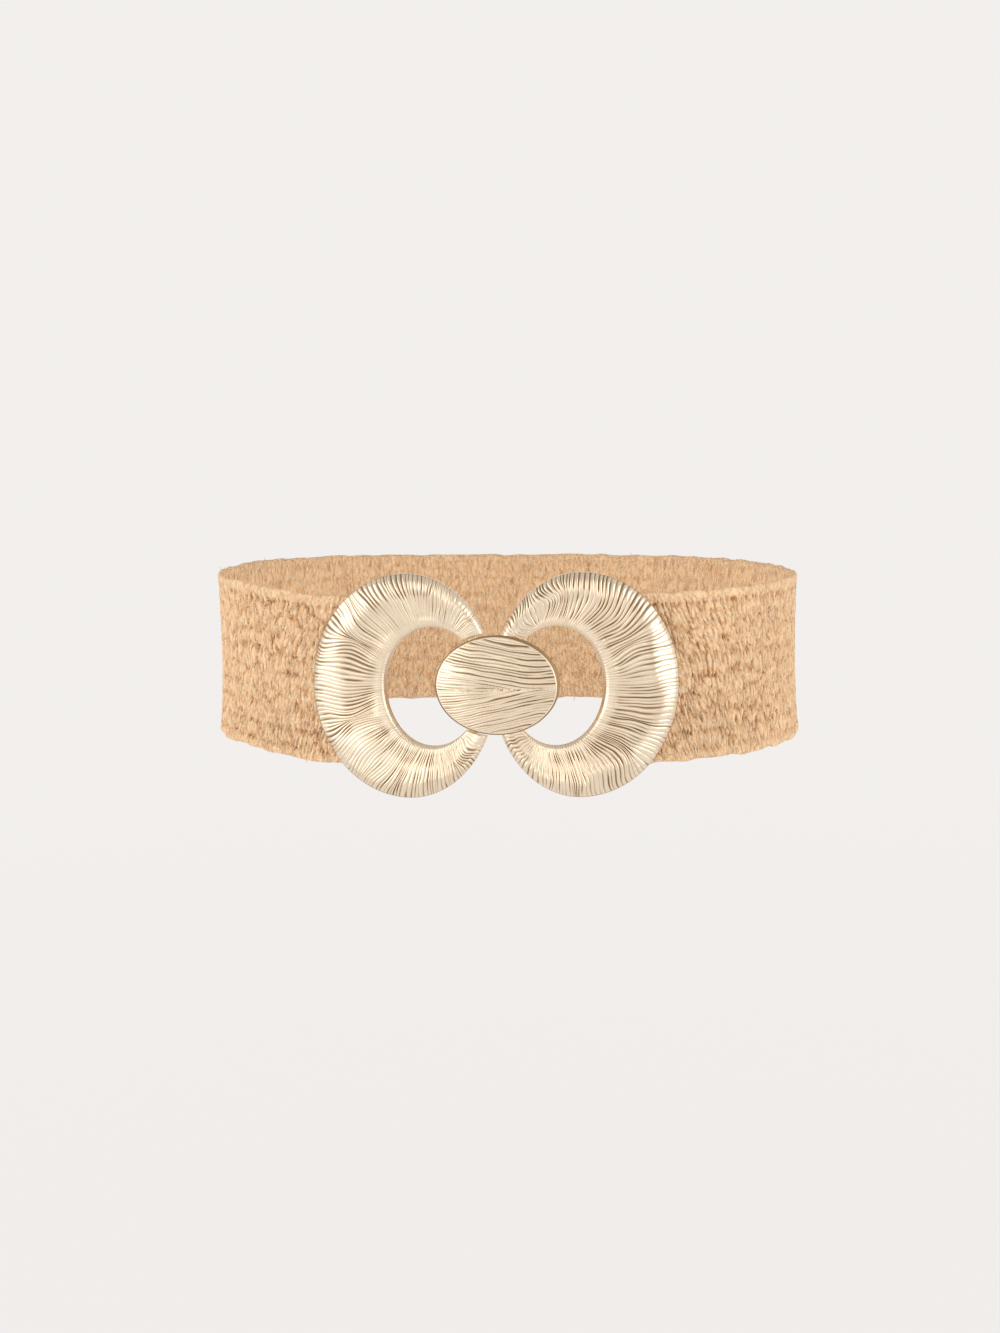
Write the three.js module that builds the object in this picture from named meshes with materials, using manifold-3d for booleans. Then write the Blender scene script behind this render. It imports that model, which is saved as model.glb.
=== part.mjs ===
// A wide stretch waist belt: a band of straw cloth shirred on elastic, closed in front by a
// two-part cast buckle of two fluted crescents and a fluted oval between them.
// Millimetres. +Z is up the wearer, -Y is the front, +X is on the right of someone facing the belt.
// The origin is the middle of the waist that the belt goes round, level with the buckle's middle.
import * as THREE from "three";
import { mergeVertices } from "three/addons/utils/BufferGeometryUtils.js";
import Module from "manifold-3d";

const wasm = await Module();
wasm.setup();

// The waist, measured to the middle of the band's thickness, is an oval of four arcs.
const WAIST_HALF_WIDTH = 119;
const WAIST_HALF_DEPTH = 92;

// The band of shirred straw cloth.
const BAND_HEIGHT = 66;
const BAND_THICKNESS = 2.2;
const CHANNEL_COUNT = 9; // horizontal channels between the rows of elastic
const CHANNEL_DEPTH = 0.6; // how far each row of elastic draws the cloth in
const GATHER_DEPTH = 0.35; // how far the cloth falls in again between two gathers
const BAND_RISE = 1; // the band's middle lies above the buckle's
const SIDE_RISE = 3; // the band rides up over the hip on the left
const RISE_STARTS = 60; // round the waist from the front middle
const RISE_FULL = 120;
const RISE_ENDS = 200;
const TOP_FLARE = 0.8; // the edges stand out from the narrowest part of the waist
const BOTTOM_FLARE = 1.6;
const FLARE_STARTS = 76; // round the waist from the front middle
const FLARE_FULL = 112;
const BAND_STEP = 8; // between two sections of the band, one out and one in
const TAB_LENGTH = 24; // the end turned back on the inside and sewn
const LAYER_GAP = 0.4;

// The bar that each end of the band turns round, held off the crescent's back by two lugs.
const BELT_BAR_PLACE = 51; // from the front middle to the middle of the bar
const BELT_BAR_WIDTH = 4;
const BELT_BAR_THICKNESS = 1.8;
const BAR_CLEARANCE = 0.3;
const LUG_HEIGHT = 1.8;

// A crescent: two ovals, one inside the other, open towards the front middle.
const CRESCENT_PLACE = 32.8;
const CRESCENT_HALF_HEIGHT = 43.4;
const CRESCENT_OUTER_REACH = 38;
const CRESCENT_INNER_REACH = 33.5;
const HOLE_PLACE = 23.4;
const HOLE_HALF_WIDTH = 18.3;
const HOLE_HALF_HEIGHT = 23.2;
const CRESCENT_CROWN = 6; // thickness at the widest part
const TIP_CROWN = 3.4; // thickness at the two tips
const CRESCENT_WALL = 2; // the back is hollow, as a casting's is
const CRESCENT_CLEARANCE = 0.6; // between the band and the crescent's back
const FLUTE_COUNT = 42;
const FLUTE_DEPTH = 0.22;
const SWELL_COUNT = 5;
const SWELL_HEIGHT = 0.35;
const TIP_GAP = 1.2; // from the left crescent's tips to the oval's outline
const TIP_TUCK = 2.6; // how far the right crescent's tips reach under the oval

// The oval, a little off the middle between the two crescents.
const OVAL_PLACE = 1.3;
const OVAL_RISE = 0.9;
const OVAL_HALF_WIDTH = 23.3;
const OVAL_HALF_HEIGHT = 19.2;
const OVAL_EDGE = 1.3;
const OVAL_DOME = 2.3;
const OVAL_RIBS = 17;
const RIB_DEPTH = 0.2;
const SEAT_GAP = 0.3;

// The hidden clasp behind the oval: a bar on each crescent, and a hook riveted to the right one.
const CATCH_BAR_PLACE = 8; // from the front middle to the middle of the left crescent's bar
const CATCH_BAR_WIDTH = 3;
const BRIDGE_PLACE = 9;
const BRIDGE_WIDTH = 7;
const CLASP_BAR_THICKNESS = 2;
const HOOK_HALF_HEIGHT = 7;
const HOOK_THICKNESS = 1.1;
const HOOK_LIP = 4.5; // how far the hook comes back under the catch bar
const RIVET_RADIUS = 1.6;
const RIVET_SPACING = 7;
const RIVET_CLEARANCE = 0.35;

const GOLD = new THREE.MeshStandardMaterial({ color: 0xe2c48c, roughness: 0.3, metalness: 1 });
const STRAW = new THREE.MeshStandardMaterial({ color: 0xdfb486, roughness: 0.85, metalness: 0 });

const CRESCENT_BACK = BAND_THICKNESS / 2 + CRESCENT_CLEARANCE;
const OVAL_BACK = CRESCENT_BACK + TIP_CROWN + SEAT_GAP;

// The four arcs of the waist: a flat one in front and behind, and a rounder one at each side.
// The front arc runs on past the buckle's bars, and the buckle is bent to it.
const FRONT_LENGTH = BELT_BAR_PLACE + BELT_BAR_WIDTH / 2;
const FRONT_RADIUS = frontRadius();
const SIDE_RADIUS =
  (2 * FRONT_RADIUS * WAIST_HALF_DEPTH - WAIST_HALF_WIDTH ** 2 - WAIST_HALF_DEPTH ** 2) /
  (2 * (FRONT_RADIUS - WAIST_HALF_WIDTH));
const SIDE_CENTRE = WAIST_HALF_WIDTH - SIDE_RADIUS;
const FRONT_CENTRE = FRONT_RADIUS - WAIST_HALF_DEPTH;
const FRONT_ANGLE = FRONT_LENGTH / FRONT_RADIUS;
const SIDE_LENGTH = SIDE_RADIUS * (Math.PI - 2 * FRONT_ANGLE);
const HALF_GIRTH = 2 * FRONT_LENGTH + SIDE_LENGTH;

// The radius at which a front arc of that length runs smoothly into the side's arc.
function frontRadius() {
  let [low, high] = [WAIST_HALF_WIDTH, 100 * WAIST_HALF_WIDTH];
  for (let i = 0; i < 60; i++) {
    const radius = (low + high) / 2;
    const angle = FRONT_LENGTH / radius;
    const acrossWidth = (radius - WAIST_HALF_WIDTH) * Math.cos(angle);
    const acrossDepth = (radius - WAIST_HALF_DEPTH) * (1 - Math.sin(angle));
    if (acrossWidth < acrossDepth) low = radius;
    else high = radius;
  }
  return (low + high) / 2;
}

// The point of the plan that lies "along" the waist from the front middle, "out" from its oval.
function waistPoint(along, out) {
  const onSide = along - FRONT_LENGTH;
  const onBack = onSide - SIDE_LENGTH;
  if (onSide < 0) return arcPoint(0, FRONT_CENTRE, FRONT_RADIUS + out, along / FRONT_RADIUS);
  if (onBack < 0) {
    return arcPoint(SIDE_CENTRE, 0, SIDE_RADIUS + out, FRONT_ANGLE + onSide / SIDE_RADIUS);
  }
  const angle = Math.PI - FRONT_ANGLE + onBack / FRONT_RADIUS;
  return arcPoint(0, -FRONT_CENTRE, FRONT_RADIUS + out, angle);
}

function arcPoint(centreX, centreY, radius, angleFromFront) {
  return new THREE.Vector2(
    centreX + radius * Math.sin(angleFromFront),
    centreY - radius * Math.cos(angleFromFront),
  );
}

// The buckle is modelled flat, with x along the waist, -y out from it and z up, and then bent.
function bendRoundFront(geometry) {
  const position = geometry.getAttribute("position");
  const point = new THREE.Vector3();
  for (let i = 0; i < position.count; i++) {
    point.fromBufferAttribute(position, i);
    const radius = FRONT_RADIUS - point.y;
    const angle = point.x / FRONT_RADIUS;
    const y = FRONT_CENTRE - radius * Math.cos(angle);
    position.setXYZ(i, radius * Math.sin(angle), y, point.z);
  }
  return geometry;
}

// A closed solid through sections of as many points each, capped with the outline's triangles.
function loft(sections, outline) {
  const count = outline.length;
  const last = (sections.length - 1) * count;
  const index = [];
  for (let i = 0; i < sections.length - 1; i++) {
    for (let j = 0; j < count; j++) {
      const a = i * count + j;
      const b = i * count + ((j + 1) % count);
      index.push(a, b, b + count, a, b + count, a + count);
    }
  }
  for (const [a, b, c] of THREE.ShapeUtils.triangulateShape(outline, [])) {
    const turned = THREE.ShapeUtils.isClockWise([a, b, c].map((corner) => outline[corner]));
    const sameWay = turned === THREE.ShapeUtils.isClockWise(outline);
    const [first, third] = sameWay ? [a, c] : [c, a];
    index.push(third, b, first, last + first, last + b, last + third);
  }
  const geometry = new THREE.BufferGeometry().setFromPoints(sections.flat()).setIndex(index);
  return facingOut(geometry);
}

function facingOut(geometry) {
  const at = geometry.getAttribute("position");
  const index = geometry.getIndex().array;
  const [a, b, c] = [new THREE.Vector3(), new THREE.Vector3(), new THREE.Vector3()];
  let volume = 0;
  for (let i = 0; i < index.length; i += 3) {
    a.fromBufferAttribute(at, index[i]);
    b.fromBufferAttribute(at, index[i + 1]);
    c.fromBufferAttribute(at, index[i + 2]);
    volume += a.dot(b.cross(c));
  }
  if (volume < 0) {
    for (let i = 0; i < index.length; i += 3) {
      [index[i + 1], index[i + 2]] = [index[i + 2], index[i + 1]];
    }
  }
  return geometry;
}

// Joins and cuts are made on solids, and the result comes back as a geometry.
function toSolid(geometry) {
  const bare = geometry.clone();
  bare.deleteAttribute("normal");
  bare.deleteAttribute("uv");
  const merged = mergeVertices(bare, 1e-4);
  const vertProperties = new Float32Array(merged.getAttribute("position").array);
  const triVerts = new Uint32Array(merged.getIndex().array);
  return new wasm.Manifold(new wasm.Mesh({ numProp: 3, vertProperties, triVerts }));
}

function toGeometry(solid) {
  const mesh = solid.getMesh();
  const position = new THREE.BufferAttribute(new Float32Array(mesh.vertProperties), 3);
  return new THREE.BufferGeometry()
    .setAttribute("position", position)
    .setIndex(new THREE.BufferAttribute(new Uint32Array(mesh.triVerts), 1));
}

// A block in the flat buckle, from one distance out of the band's middle to another.
function flatBlock(xMiddle, width, outFrom, outTo, zMiddle, height) {
  return new THREE.BoxGeometry(width, outTo - outFrom, height).translate(
    xMiddle,
    -(outFrom + outTo) / 2,
    zMiddle,
  );
}

// A crescent's section, from the hole's edge to the outer edge: shares of its width and crown.
const CRESCENT_FRONT = [
  { across: 0, height: 0.34, fluted: 0 },
  { across: 0.06, height: 0.66, fluted: 0.5 },
  { across: 0.18, height: 0.84, fluted: 1 },
  { across: 0.5, height: 0.92, fluted: 1 },
  { across: 0.8, height: 1, fluted: 1 },
  { across: 0.93, height: 0.74, fluted: 0.8 },
  { across: 1, height: 0.36, fluted: 0 },
];
// The hollow back: widths in walls' thicknesses from each edge, and its depth as a share.
const CRESCENT_HOLLOW = [
  { edge: 1, walls: 0.9, depth: 0 },
  { edge: 1, walls: 1.3, depth: 0.9 },
  { edge: 0, walls: 1.3, depth: 0.8 },
  { edge: 0, walls: 0.9, depth: 0 },
];

// How far a crescent's tips stop outside the centre oval's outline, and where that oval is. The
// right crescent is modelled on the left and mirrored, and its tips reach under the oval.
const LEFT_TIPS = { reach: TIP_GAP, ovalPlace: OVAL_PLACE };
const RIGHT_TIPS = { reach: -TIP_TUCK, ovalPlace: -OVAL_PLACE };

// The two ovals whose difference is the left crescent.
const OUTER_OVAL = {
  place: CRESCENT_PLACE,
  halfWidth: CRESCENT_INNER_REACH,
  halfHeight: CRESCENT_HALF_HEIGHT,
};
const HOLE_OVAL = {
  place: HOLE_PLACE,
  halfWidth: HOLE_HALF_WIDTH,
  halfHeight: HOLE_HALF_HEIGHT,
};

// The angle at which one of them meets the centre oval, grown by the tips' reach, above its
// middle where "side" is 1 and below it where "side" is -1.
function tipAngle({ place, halfWidth, halfHeight }, { reach, ovalPlace }, side) {
  let [low, high] = [0, Math.PI / 2];
  for (let i = 0; i < 40; i++) {
    const angle = (low + high) / 2;
    const x = -place + halfWidth * Math.cos(angle) - ovalPlace;
    const z = side * halfHeight * Math.sin(angle) - OVAL_RISE;
    if (Math.hypot(x / (OVAL_HALF_WIDTH + reach), z / (OVAL_HALF_HEIGHT + reach)) < 1) low = angle;
    else high = angle;
  }
  return side * ((low + high) / 2);
}

// The left crescent, flat. Its back is hollowed by a share of the full depth, from 0 to 1.
function crescent(tips, hollowed) {
  const [outerUpper, outerLower] = [1, -1].map((side) => tipAngle(OUTER_OVAL, tips, side));
  const [holeUpper, holeLower] = [1, -1].map((side) => tipAngle(HOLE_OVAL, tips, side));
  const steps = 2 * FLUTE_COUNT;
  const sections = [];
  for (let i = 0; i <= steps; i++) {
    const share = i / steps;
    const fullness = Math.sin(Math.PI * share) ** 0.6; // 0 at the tips, 1 at the widest part
    const outerAngle = THREE.MathUtils.lerp(outerUpper, 2 * Math.PI + outerLower, share);
    const holeAngle = THREE.MathUtils.lerp(holeUpper, 2 * Math.PI + holeLower, share);
    const reach = Math.cos(outerAngle) < 0 ? CRESCENT_OUTER_REACH : CRESCENT_INNER_REACH;
    const outer = new THREE.Vector2(
      -CRESCENT_PLACE + reach * Math.cos(outerAngle),
      CRESCENT_HALF_HEIGHT * Math.sin(outerAngle),
    );
    const hole = new THREE.Vector2(
      -HOLE_PLACE + HOLE_HALF_WIDTH * Math.cos(holeAngle),
      HOLE_HALF_HEIGHT * Math.sin(holeAngle),
    );
    const width = outer.distanceTo(hole);
    const crown = THREE.MathUtils.lerp(TIP_CROWN, CRESCENT_CROWN, fullness);
    const swell = SWELL_HEIGHT * fullness * Math.sin(2 * Math.PI * SWELL_COUNT * share);
    const flute = i % 2 ? FLUTE_DEPTH : 0;
    const front = CRESCENT_FRONT.map((row) => ({
      across: row.across,
      height: crown * row.height + (swell - flute) * row.fluted,
    }));
    const back = CRESCENT_HOLLOW.map((row) => ({
      across: Math.abs(row.edge - (row.walls * CRESCENT_WALL) / width),
      height: hollowed * row.depth * (crown - SWELL_HEIGHT - CRESCENT_WALL),
    }));
    const edges = [
      { across: 1, height: 0 },
      { across: 0, height: 0 },
    ];
    sections.push(
      [...front, edges[0], ...back, edges[1]].map(({ across, height }) => {
        const at = hole.clone().lerp(outer, across);
        return new THREE.Vector3(at.x, -(CRESCENT_BACK + height), at.y);
      }),
    );
  }
  const outline = sections[FLUTE_COUNT].map((p) => new THREE.Vector2(p.x, p.y));
  return toSolid(loft(sections, outline));
}

// The left crescent with the bar that the band's end turns round. Two lugs carry the bar, and
// they run on through the hollow back to the crescent's front wall.
function crescentWithBar(tips) {
  const lugMiddle = BAND_HEIGHT / 2 + BAR_CLEARANCE + LUG_HEIGHT / 2;
  const barOut = -(BAND_THICKNESS / 2 + BAR_CLEARANCE);
  const barIn = barOut - BELT_BAR_THICKNESS;
  const height = 2 * lugMiddle + LUG_HEIGHT;
  const lug = (outTo, z) =>
    toSolid(flatBlock(-BELT_BAR_PLACE, BELT_BAR_WIDTH, barIn, outTo, BAND_RISE + z, LUG_HEIGHT));
  const bar = flatBlock(-BELT_BAR_PLACE, BELT_BAR_WIDTH, barIn, barOut, BAND_RISE, height);
  const filled = crescent(tips, 0);
  let whole = crescent(tips, 1).add(toSolid(bar));
  for (const z of [-lugMiddle, lugMiddle]) {
    const inside = lug(CRESCENT_BACK + CRESCENT_CROWN, z).intersect(filled);
    whole = whole.add(inside).add(lug(CRESCENT_BACK + CRESCENT_WALL, z));
  }
  return whole;
}

// A bar behind the oval that ties a crescent's two tips together.
function claspBar(xMiddle, width, tips) {
  const height = 2 * (OVAL_HALF_HEIGHT + tips.reach + CRESCENT_WALL / 2);
  const outTo = CRESCENT_BACK + CLASP_BAR_THICKNESS;
  return toSolid(flatBlock(xMiddle, width, CRESCENT_BACK, outTo, OVAL_RISE, height));
}

// Rivets run straight out from the bridge. A hole is one with its clearance added.
function rivets(radius, outFrom, outTo) {
  const middle = -(outFrom + outTo) / 2;
  const [lower, upper] = [-RIVET_SPACING / 2, RIVET_SPACING / 2].map((z) => {
    const round = new THREE.CylinderGeometry(radius, radius, outTo - outFrom, 10);
    return toSolid(round.translate(BRIDGE_PLACE, middle, OVAL_RISE + z));
  });
  return lower.add(upper);
}

function leftCrescent() {
  const catchBar = claspBar(-CATCH_BAR_PLACE, CATCH_BAR_WIDTH, LEFT_TIPS);
  return bendRoundFront(toGeometry(crescentWithBar(LEFT_TIPS).add(catchBar)));
}

function rightCrescent() {
  const mirrored = crescentWithBar(RIGHT_TIPS).mirror([1, 0, 0]);
  const holes = rivets(RIVET_RADIUS + RIVET_CLEARANCE, 0, OVAL_BACK);
  const bridge = claspBar(BRIDGE_PLACE, BRIDGE_WIDTH, RIGHT_TIPS).subtract(holes);
  return bendRoundFront(toGeometry(mirrored.add(bridge)));
}

// The oval's section from its left edge to its right edge, as shares of its half width there.
const OVAL_ACROSS = [-1, -0.95, -0.84, -0.6, -0.2, 0.2, 0.6, 0.84, 0.95, 1];
const OVAL_BACK_ACROSS = [1, 0.5, 0, -0.5, -1];
const OVAL_POLE = THREE.MathUtils.degToRad(84); // where the first and last sections are cut

function ovalDisc() {
  const steps = 2 * OVAL_RIBS;
  const sections = [];
  for (let i = 0; i <= steps; i++) {
    const angle = THREE.MathUtils.lerp(-OVAL_POLE, OVAL_POLE, i / steps);
    const halfWidth = OVAL_HALF_WIDTH * Math.cos(angle);
    const z = OVAL_RISE + OVAL_HALF_HEIGHT * Math.sin(angle);
    const rib = i % 2 ? RIB_DEPTH : 0;
    const front = OVAL_ACROSS.map((across) => {
      const fromMiddle = (across * Math.cos(angle)) ** 2 + Math.sin(angle) ** 2;
      const dome = Math.sqrt(Math.max(0, 1 - fromMiddle ** 2));
      const out = OVAL_EDGE + dome * (OVAL_DOME - rib);
      return new THREE.Vector3(OVAL_PLACE + across * halfWidth, -(OVAL_BACK + out), z);
    });
    const back = OVAL_BACK_ACROSS.map(
      (across) => new THREE.Vector3(OVAL_PLACE + across * halfWidth, -OVAL_BACK, z),
    );
    sections.push([...front, ...back]);
  }
  const outline = sections[OVAL_RIBS].map((p) => new THREE.Vector2(p.x, p.y));
  const pins = rivets(RIVET_RADIUS, CRESCENT_BACK, OVAL_BACK + OVAL_EDGE);
  return bendRoundFront(toGeometry(toSolid(loft(sections, outline)).add(pins)));
}

// The hook: a strip over the bridge that turns back under the left crescent's catch bar.
function claspHook() {
  const top = OVAL_BACK - SEAT_GAP;
  const under = top - HOOK_THICKNESS;
  const lipTop = CRESCENT_BACK - BAR_CLEARANCE;
  const lipUnder = lipTop - HOOK_THICKNESS;
  const right = BRIDGE_PLACE + BRIDGE_WIDTH / 2;
  const throat = -(CATCH_BAR_PLACE + CATCH_BAR_WIDTH / 2 + BAR_CLEARANCE);
  const left = throat - HOOK_THICKNESS;
  const middle = (left + right) / 2;
  const profile = new THREE.Shape(
    [
      [middle, -top],
      [right, -top],
      [right, -under],
      [middle, -under],
      [throat, -under],
      [throat, -lipTop],
      [throat + HOOK_LIP, -lipTop],
      [throat + HOOK_LIP, -lipUnder],
      [left, -lipUnder],
      [left, -top],
    ].map(([x, y]) => new THREE.Vector2(x, y)),
  );
  const strip = new THREE.ExtrudeGeometry(profile, {
    depth: 2 * HOOK_HALF_HEIGHT,
    bevelEnabled: false,
  }).translate(0, 0, OVAL_RISE - HOOK_HALF_HEIGHT);
  const holes = rivets(RIVET_RADIUS + RIVET_CLEARANCE, 0, OVAL_BACK);
  return bendRoundFront(toGeometry(toSolid(strip).subtract(holes)));
}

// Half of the band's run, from the back middle to the end of the tab inside the front.
function halfBandRun() {
  const turnRadius = (BAND_THICKNESS + BELT_BAR_THICKNESS) / 2 + BAR_CLEARANCE;
  const turnPlace = BELT_BAR_PLACE - BELT_BAR_WIDTH / 2;
  const steps = Math.round((HALF_GIRTH - turnPlace) / BAND_STEP);
  const turnSteps = 6;
  const tabSteps = 5;
  const run = [];
  for (let i = 0; i < steps; i++) {
    run.push({ along: THREE.MathUtils.lerp(HALF_GIRTH, turnPlace, i / steps), out: 0 });
  }
  for (let i = 0; i <= turnSteps; i++) {
    const angle = (Math.PI * i) / turnSteps;
    run.push({
      along: turnPlace - turnRadius * Math.sin(angle),
      out: turnRadius * (Math.cos(angle) - 1),
    });
  }
  const tabOut = -(BAND_THICKNESS + LAYER_GAP);
  const easeStarts = BELT_BAR_WIDTH / TAB_LENGTH;
  for (let i = 1; i <= tabSteps; i++) {
    const share = i / tabSteps;
    const ease = THREE.MathUtils.smoothstep(share, easeStarts, 0.65);
    run.push({
      along: turnPlace + share * TAB_LENGTH,
      out: THREE.MathUtils.lerp(-2 * turnRadius, tabOut, ease),
    });
  }
  return run;
}

// The band's section: "up" from its middle and "out" from the middle of its thickness. Each
// channel stands out or falls in by turns, the other way than its neighbours above and below.
function bandOutline(turn) {
  const half = BAND_HEIGHT / 2;
  const face = BAND_THICKNESS / 2;
  const channel = BAND_HEIGHT / CHANNEL_COUNT;
  const outline = [];
  for (let i = 0; i <= 2 * CHANNEL_COUNT; i++) {
    const fallsIn = (turn + (i - 1) / 2) % 2 ? GATHER_DEPTH : 0;
    const drawnIn = i % 2 ? fallsIn : CHANNEL_DEPTH;
    outline.push(new THREE.Vector2(-half + (i * channel) / 2, face - drawnIn));
  }
  for (const share of [1, 0.5, 0, -0.5, -1]) {
    const drawnIn = Math.abs(share) === 1 ? CHANNEL_DEPTH : 0;
    outline.push(new THREE.Vector2(half * share, -face + drawnIn));
  }
  return outline;
}

// How far the band's middle lies above the buckle's. It rides up on the left side only.
function bandRise(along, onLeft) {
  const goesUp = THREE.MathUtils.smoothstep(along, RISE_STARTS, RISE_FULL);
  const comesDown = THREE.MathUtils.smoothstep(along, RISE_ENDS, HALF_GIRTH);
  return BAND_RISE + (onLeft ? SIDE_RISE * (goesUp - comesDown) : 0);
}

function stretchBand() {
  const right = halfBandRun().map(({ along, out }) => ({
    at: waistPoint(along, out),
    along,
    rise: bandRise(along, false),
  }));
  const left = right.map(({ at, along }) => ({
    at: new THREE.Vector2(-at.x, at.y),
    along,
    rise: bandRise(along, true),
  }));
  const run = [...left.slice(1).reverse(), ...right];
  const outlines = [bandOutline(0), bandOutline(1)];
  const sections = run.map(({ at, along, rise }, i) => {
    const before = run[Math.max(i - 1, 0)].at;
    const after = run[Math.min(i + 1, run.length - 1)].at;
    const forward = after.clone().sub(before).normalize();
    const flare = THREE.MathUtils.smoothstep(along, FLARE_STARTS, FLARE_FULL);
    return outlines[i % 2].map(({ x: up, y: out }) => {
      const edgeFlare = up > 0 ? TOP_FLARE : BOTTOM_FLARE;
      const stands = out + flare * edgeFlare * ((2 * up) / BAND_HEIGHT) ** 2;
      const [x, y] = [at.x - forward.y * stands, at.y + forward.x * stands];
      return new THREE.Vector3(x, y, rise + up);
    });
  });
  return loft(sections, outlines[0]);
}

function piece(name, geometry, material) {
  const plain = geometry.toNonIndexed();
  plain.computeVertexNormals();
  const mesh = new THREE.Mesh(plain, material);
  mesh.name = name;
  return mesh;
}

const belt = new THREE.Group();
belt.add(
  piece("stretch_band", stretchBand(), STRAW),
  piece("left_crescent", leftCrescent(), GOLD),
  piece("right_crescent", rightCrescent(), GOLD),
  piece("oval_disc", ovalDisc(), GOLD),
  piece("clasp_hook", claspHook(), GOLD),
);

export default belt;
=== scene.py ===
import math

import bmesh
import bpy
import numpy as np
from mathutils import Matrix


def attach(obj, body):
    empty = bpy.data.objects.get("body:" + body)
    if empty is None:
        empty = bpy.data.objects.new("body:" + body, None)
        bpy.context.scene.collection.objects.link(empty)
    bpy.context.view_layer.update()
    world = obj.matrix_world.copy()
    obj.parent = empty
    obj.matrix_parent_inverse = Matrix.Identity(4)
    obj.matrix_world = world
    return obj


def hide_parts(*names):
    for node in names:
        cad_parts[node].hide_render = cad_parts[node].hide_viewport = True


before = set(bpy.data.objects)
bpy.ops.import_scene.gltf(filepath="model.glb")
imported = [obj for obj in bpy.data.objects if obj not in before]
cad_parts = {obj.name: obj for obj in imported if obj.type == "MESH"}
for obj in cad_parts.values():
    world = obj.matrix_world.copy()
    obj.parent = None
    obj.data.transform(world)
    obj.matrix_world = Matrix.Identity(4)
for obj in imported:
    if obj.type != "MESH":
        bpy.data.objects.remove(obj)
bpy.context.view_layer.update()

# The camera.
# It stands about a metre in front of the belt, a little to the right and above the buckle, and
# looks slightly down, as the photograph does. Angles are degrees, and lengths are millimetres.
MM = 0.001
CAMERA_PLACE = (58.5, -1007.3, 131.5)
CAMERA_TURN = 3.52  # to the left of straight ahead
CAMERA_PITCH = -7.71
CAMERA_ROLL = -0.84
CAMERA_LENS = 65.16

camera_data = bpy.data.cameras.new("photo_camera")
camera_data.lens = CAMERA_LENS
camera_data.sensor_width = 36
camera_data.clip_end = 40
camera = bpy.data.objects.new("photo_camera", camera_data)
camera.matrix_world = (
    Matrix.Translation([place * MM for place in CAMERA_PLACE])
    @ Matrix.Rotation(math.radians(CAMERA_TURN), 4, "Z")
    @ Matrix.Rotation(math.radians(90 + CAMERA_PITCH), 4, "X")
    @ Matrix.Rotation(math.radians(CAMERA_ROLL), 4, "Z")
)
bpy.context.scene.collection.objects.link(camera)
bpy.context.scene.camera = camera

# The studio.
# A wide floor of pale matt board fades into a backdrop of the same colour. The pale room is
# brightest behind the camera, and three softboxes that it can't see stand to the left, to the
# front left and to the right. The belt is held at waist height, well above the floor.
BACKDROP = "f2efed"
FLOOR_BOARD = "efecea"
FLOOR_LEVEL = -330
FLOOR_RADIUS = 8000
FADE_STARTS = 100  # from the middle of the floor
FADE_ENDS = 1600
FADE_LEAST = 0.85  # how much of the board's look is already the backdrop's in its middle
# Brightness of the room by how squarely it faces the buckle, from behind it to behind the camera.
ROOM_LIGHT = [
    {"facing": -1.0, "light": (0.95, 0.93, 0.9)},
    {"facing": 0.2, "light": (0.95, 0.93, 0.9)},
    {"facing": 0.6, "light": (0.84, 0.8, 0.75)},
    {"facing": 0.88, "light": (0.8, 0.76, 0.71)},
    {"facing": 0.985, "light": (1.28, 1.25, 1.21)},
]
CEILING_STARTS = 0.35  # how steeply up, as a sine
CEILING_ENDS = 0.8
CEILING_LIGHT = 0.72  # of the room's
SOFTBOXES = [
    {"name": "left_softbox", "place": (-1590, -800, 320), "size": (2300, 1900), "power": 14},
    {"name": "front_left_softbox", "place": (-900, -1420, 160), "size": (720, 1300), "power": 1.0},
    {"name": "right_softbox", "place": (1650, -640, 330), "size": (1500, 1700), "power": 10.5},
]


def linear(hex_colour):
    """The linear colour of an sRGB hex value, with full alpha."""
    shares = [int(hex_colour[i : i + 2], 16) / 255 for i in (0, 2, 4)]
    return [s / 12.92 if s < 0.04045 else ((s + 0.055) / 1.055) ** 2.4 for s in shares] + [1]


def add_node(tree, kind, inputs=None, **settings):
    """A new shader node. Its inputs are values, outputs to link, or nodes for their first output."""
    node = tree.nodes.new("ShaderNode" + kind)
    for name, value in settings.items():
        setattr(node, name, value)
    for name, value in (inputs or {}).items():
        if isinstance(value, bpy.types.Node):
            value = value.outputs[0]
        if isinstance(value, bpy.types.NodeSocket):
            tree.links.new(value, node.inputs[name])
        else:
            node.inputs[name].default_value = value
    return node


def set_ramp(ramp, stops):
    """Sets a colour ramp's stops, each a place from 0 to 1 and a colour."""
    while len(ramp.elements) < len(stops):
        ramp.elements.new(0.5)
    for element, (place, colour) in zip(ramp.elements, stops):
        element.position = place
        element.color = colour


def new_material(name):
    """A material and its emptied node tree."""
    material = bpy.data.materials.new(name)
    material.use_nodes = True
    material.node_tree.nodes.clear()
    return material, material.node_tree


bpy.context.scene.view_settings.view_transform = "Standard"

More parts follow.
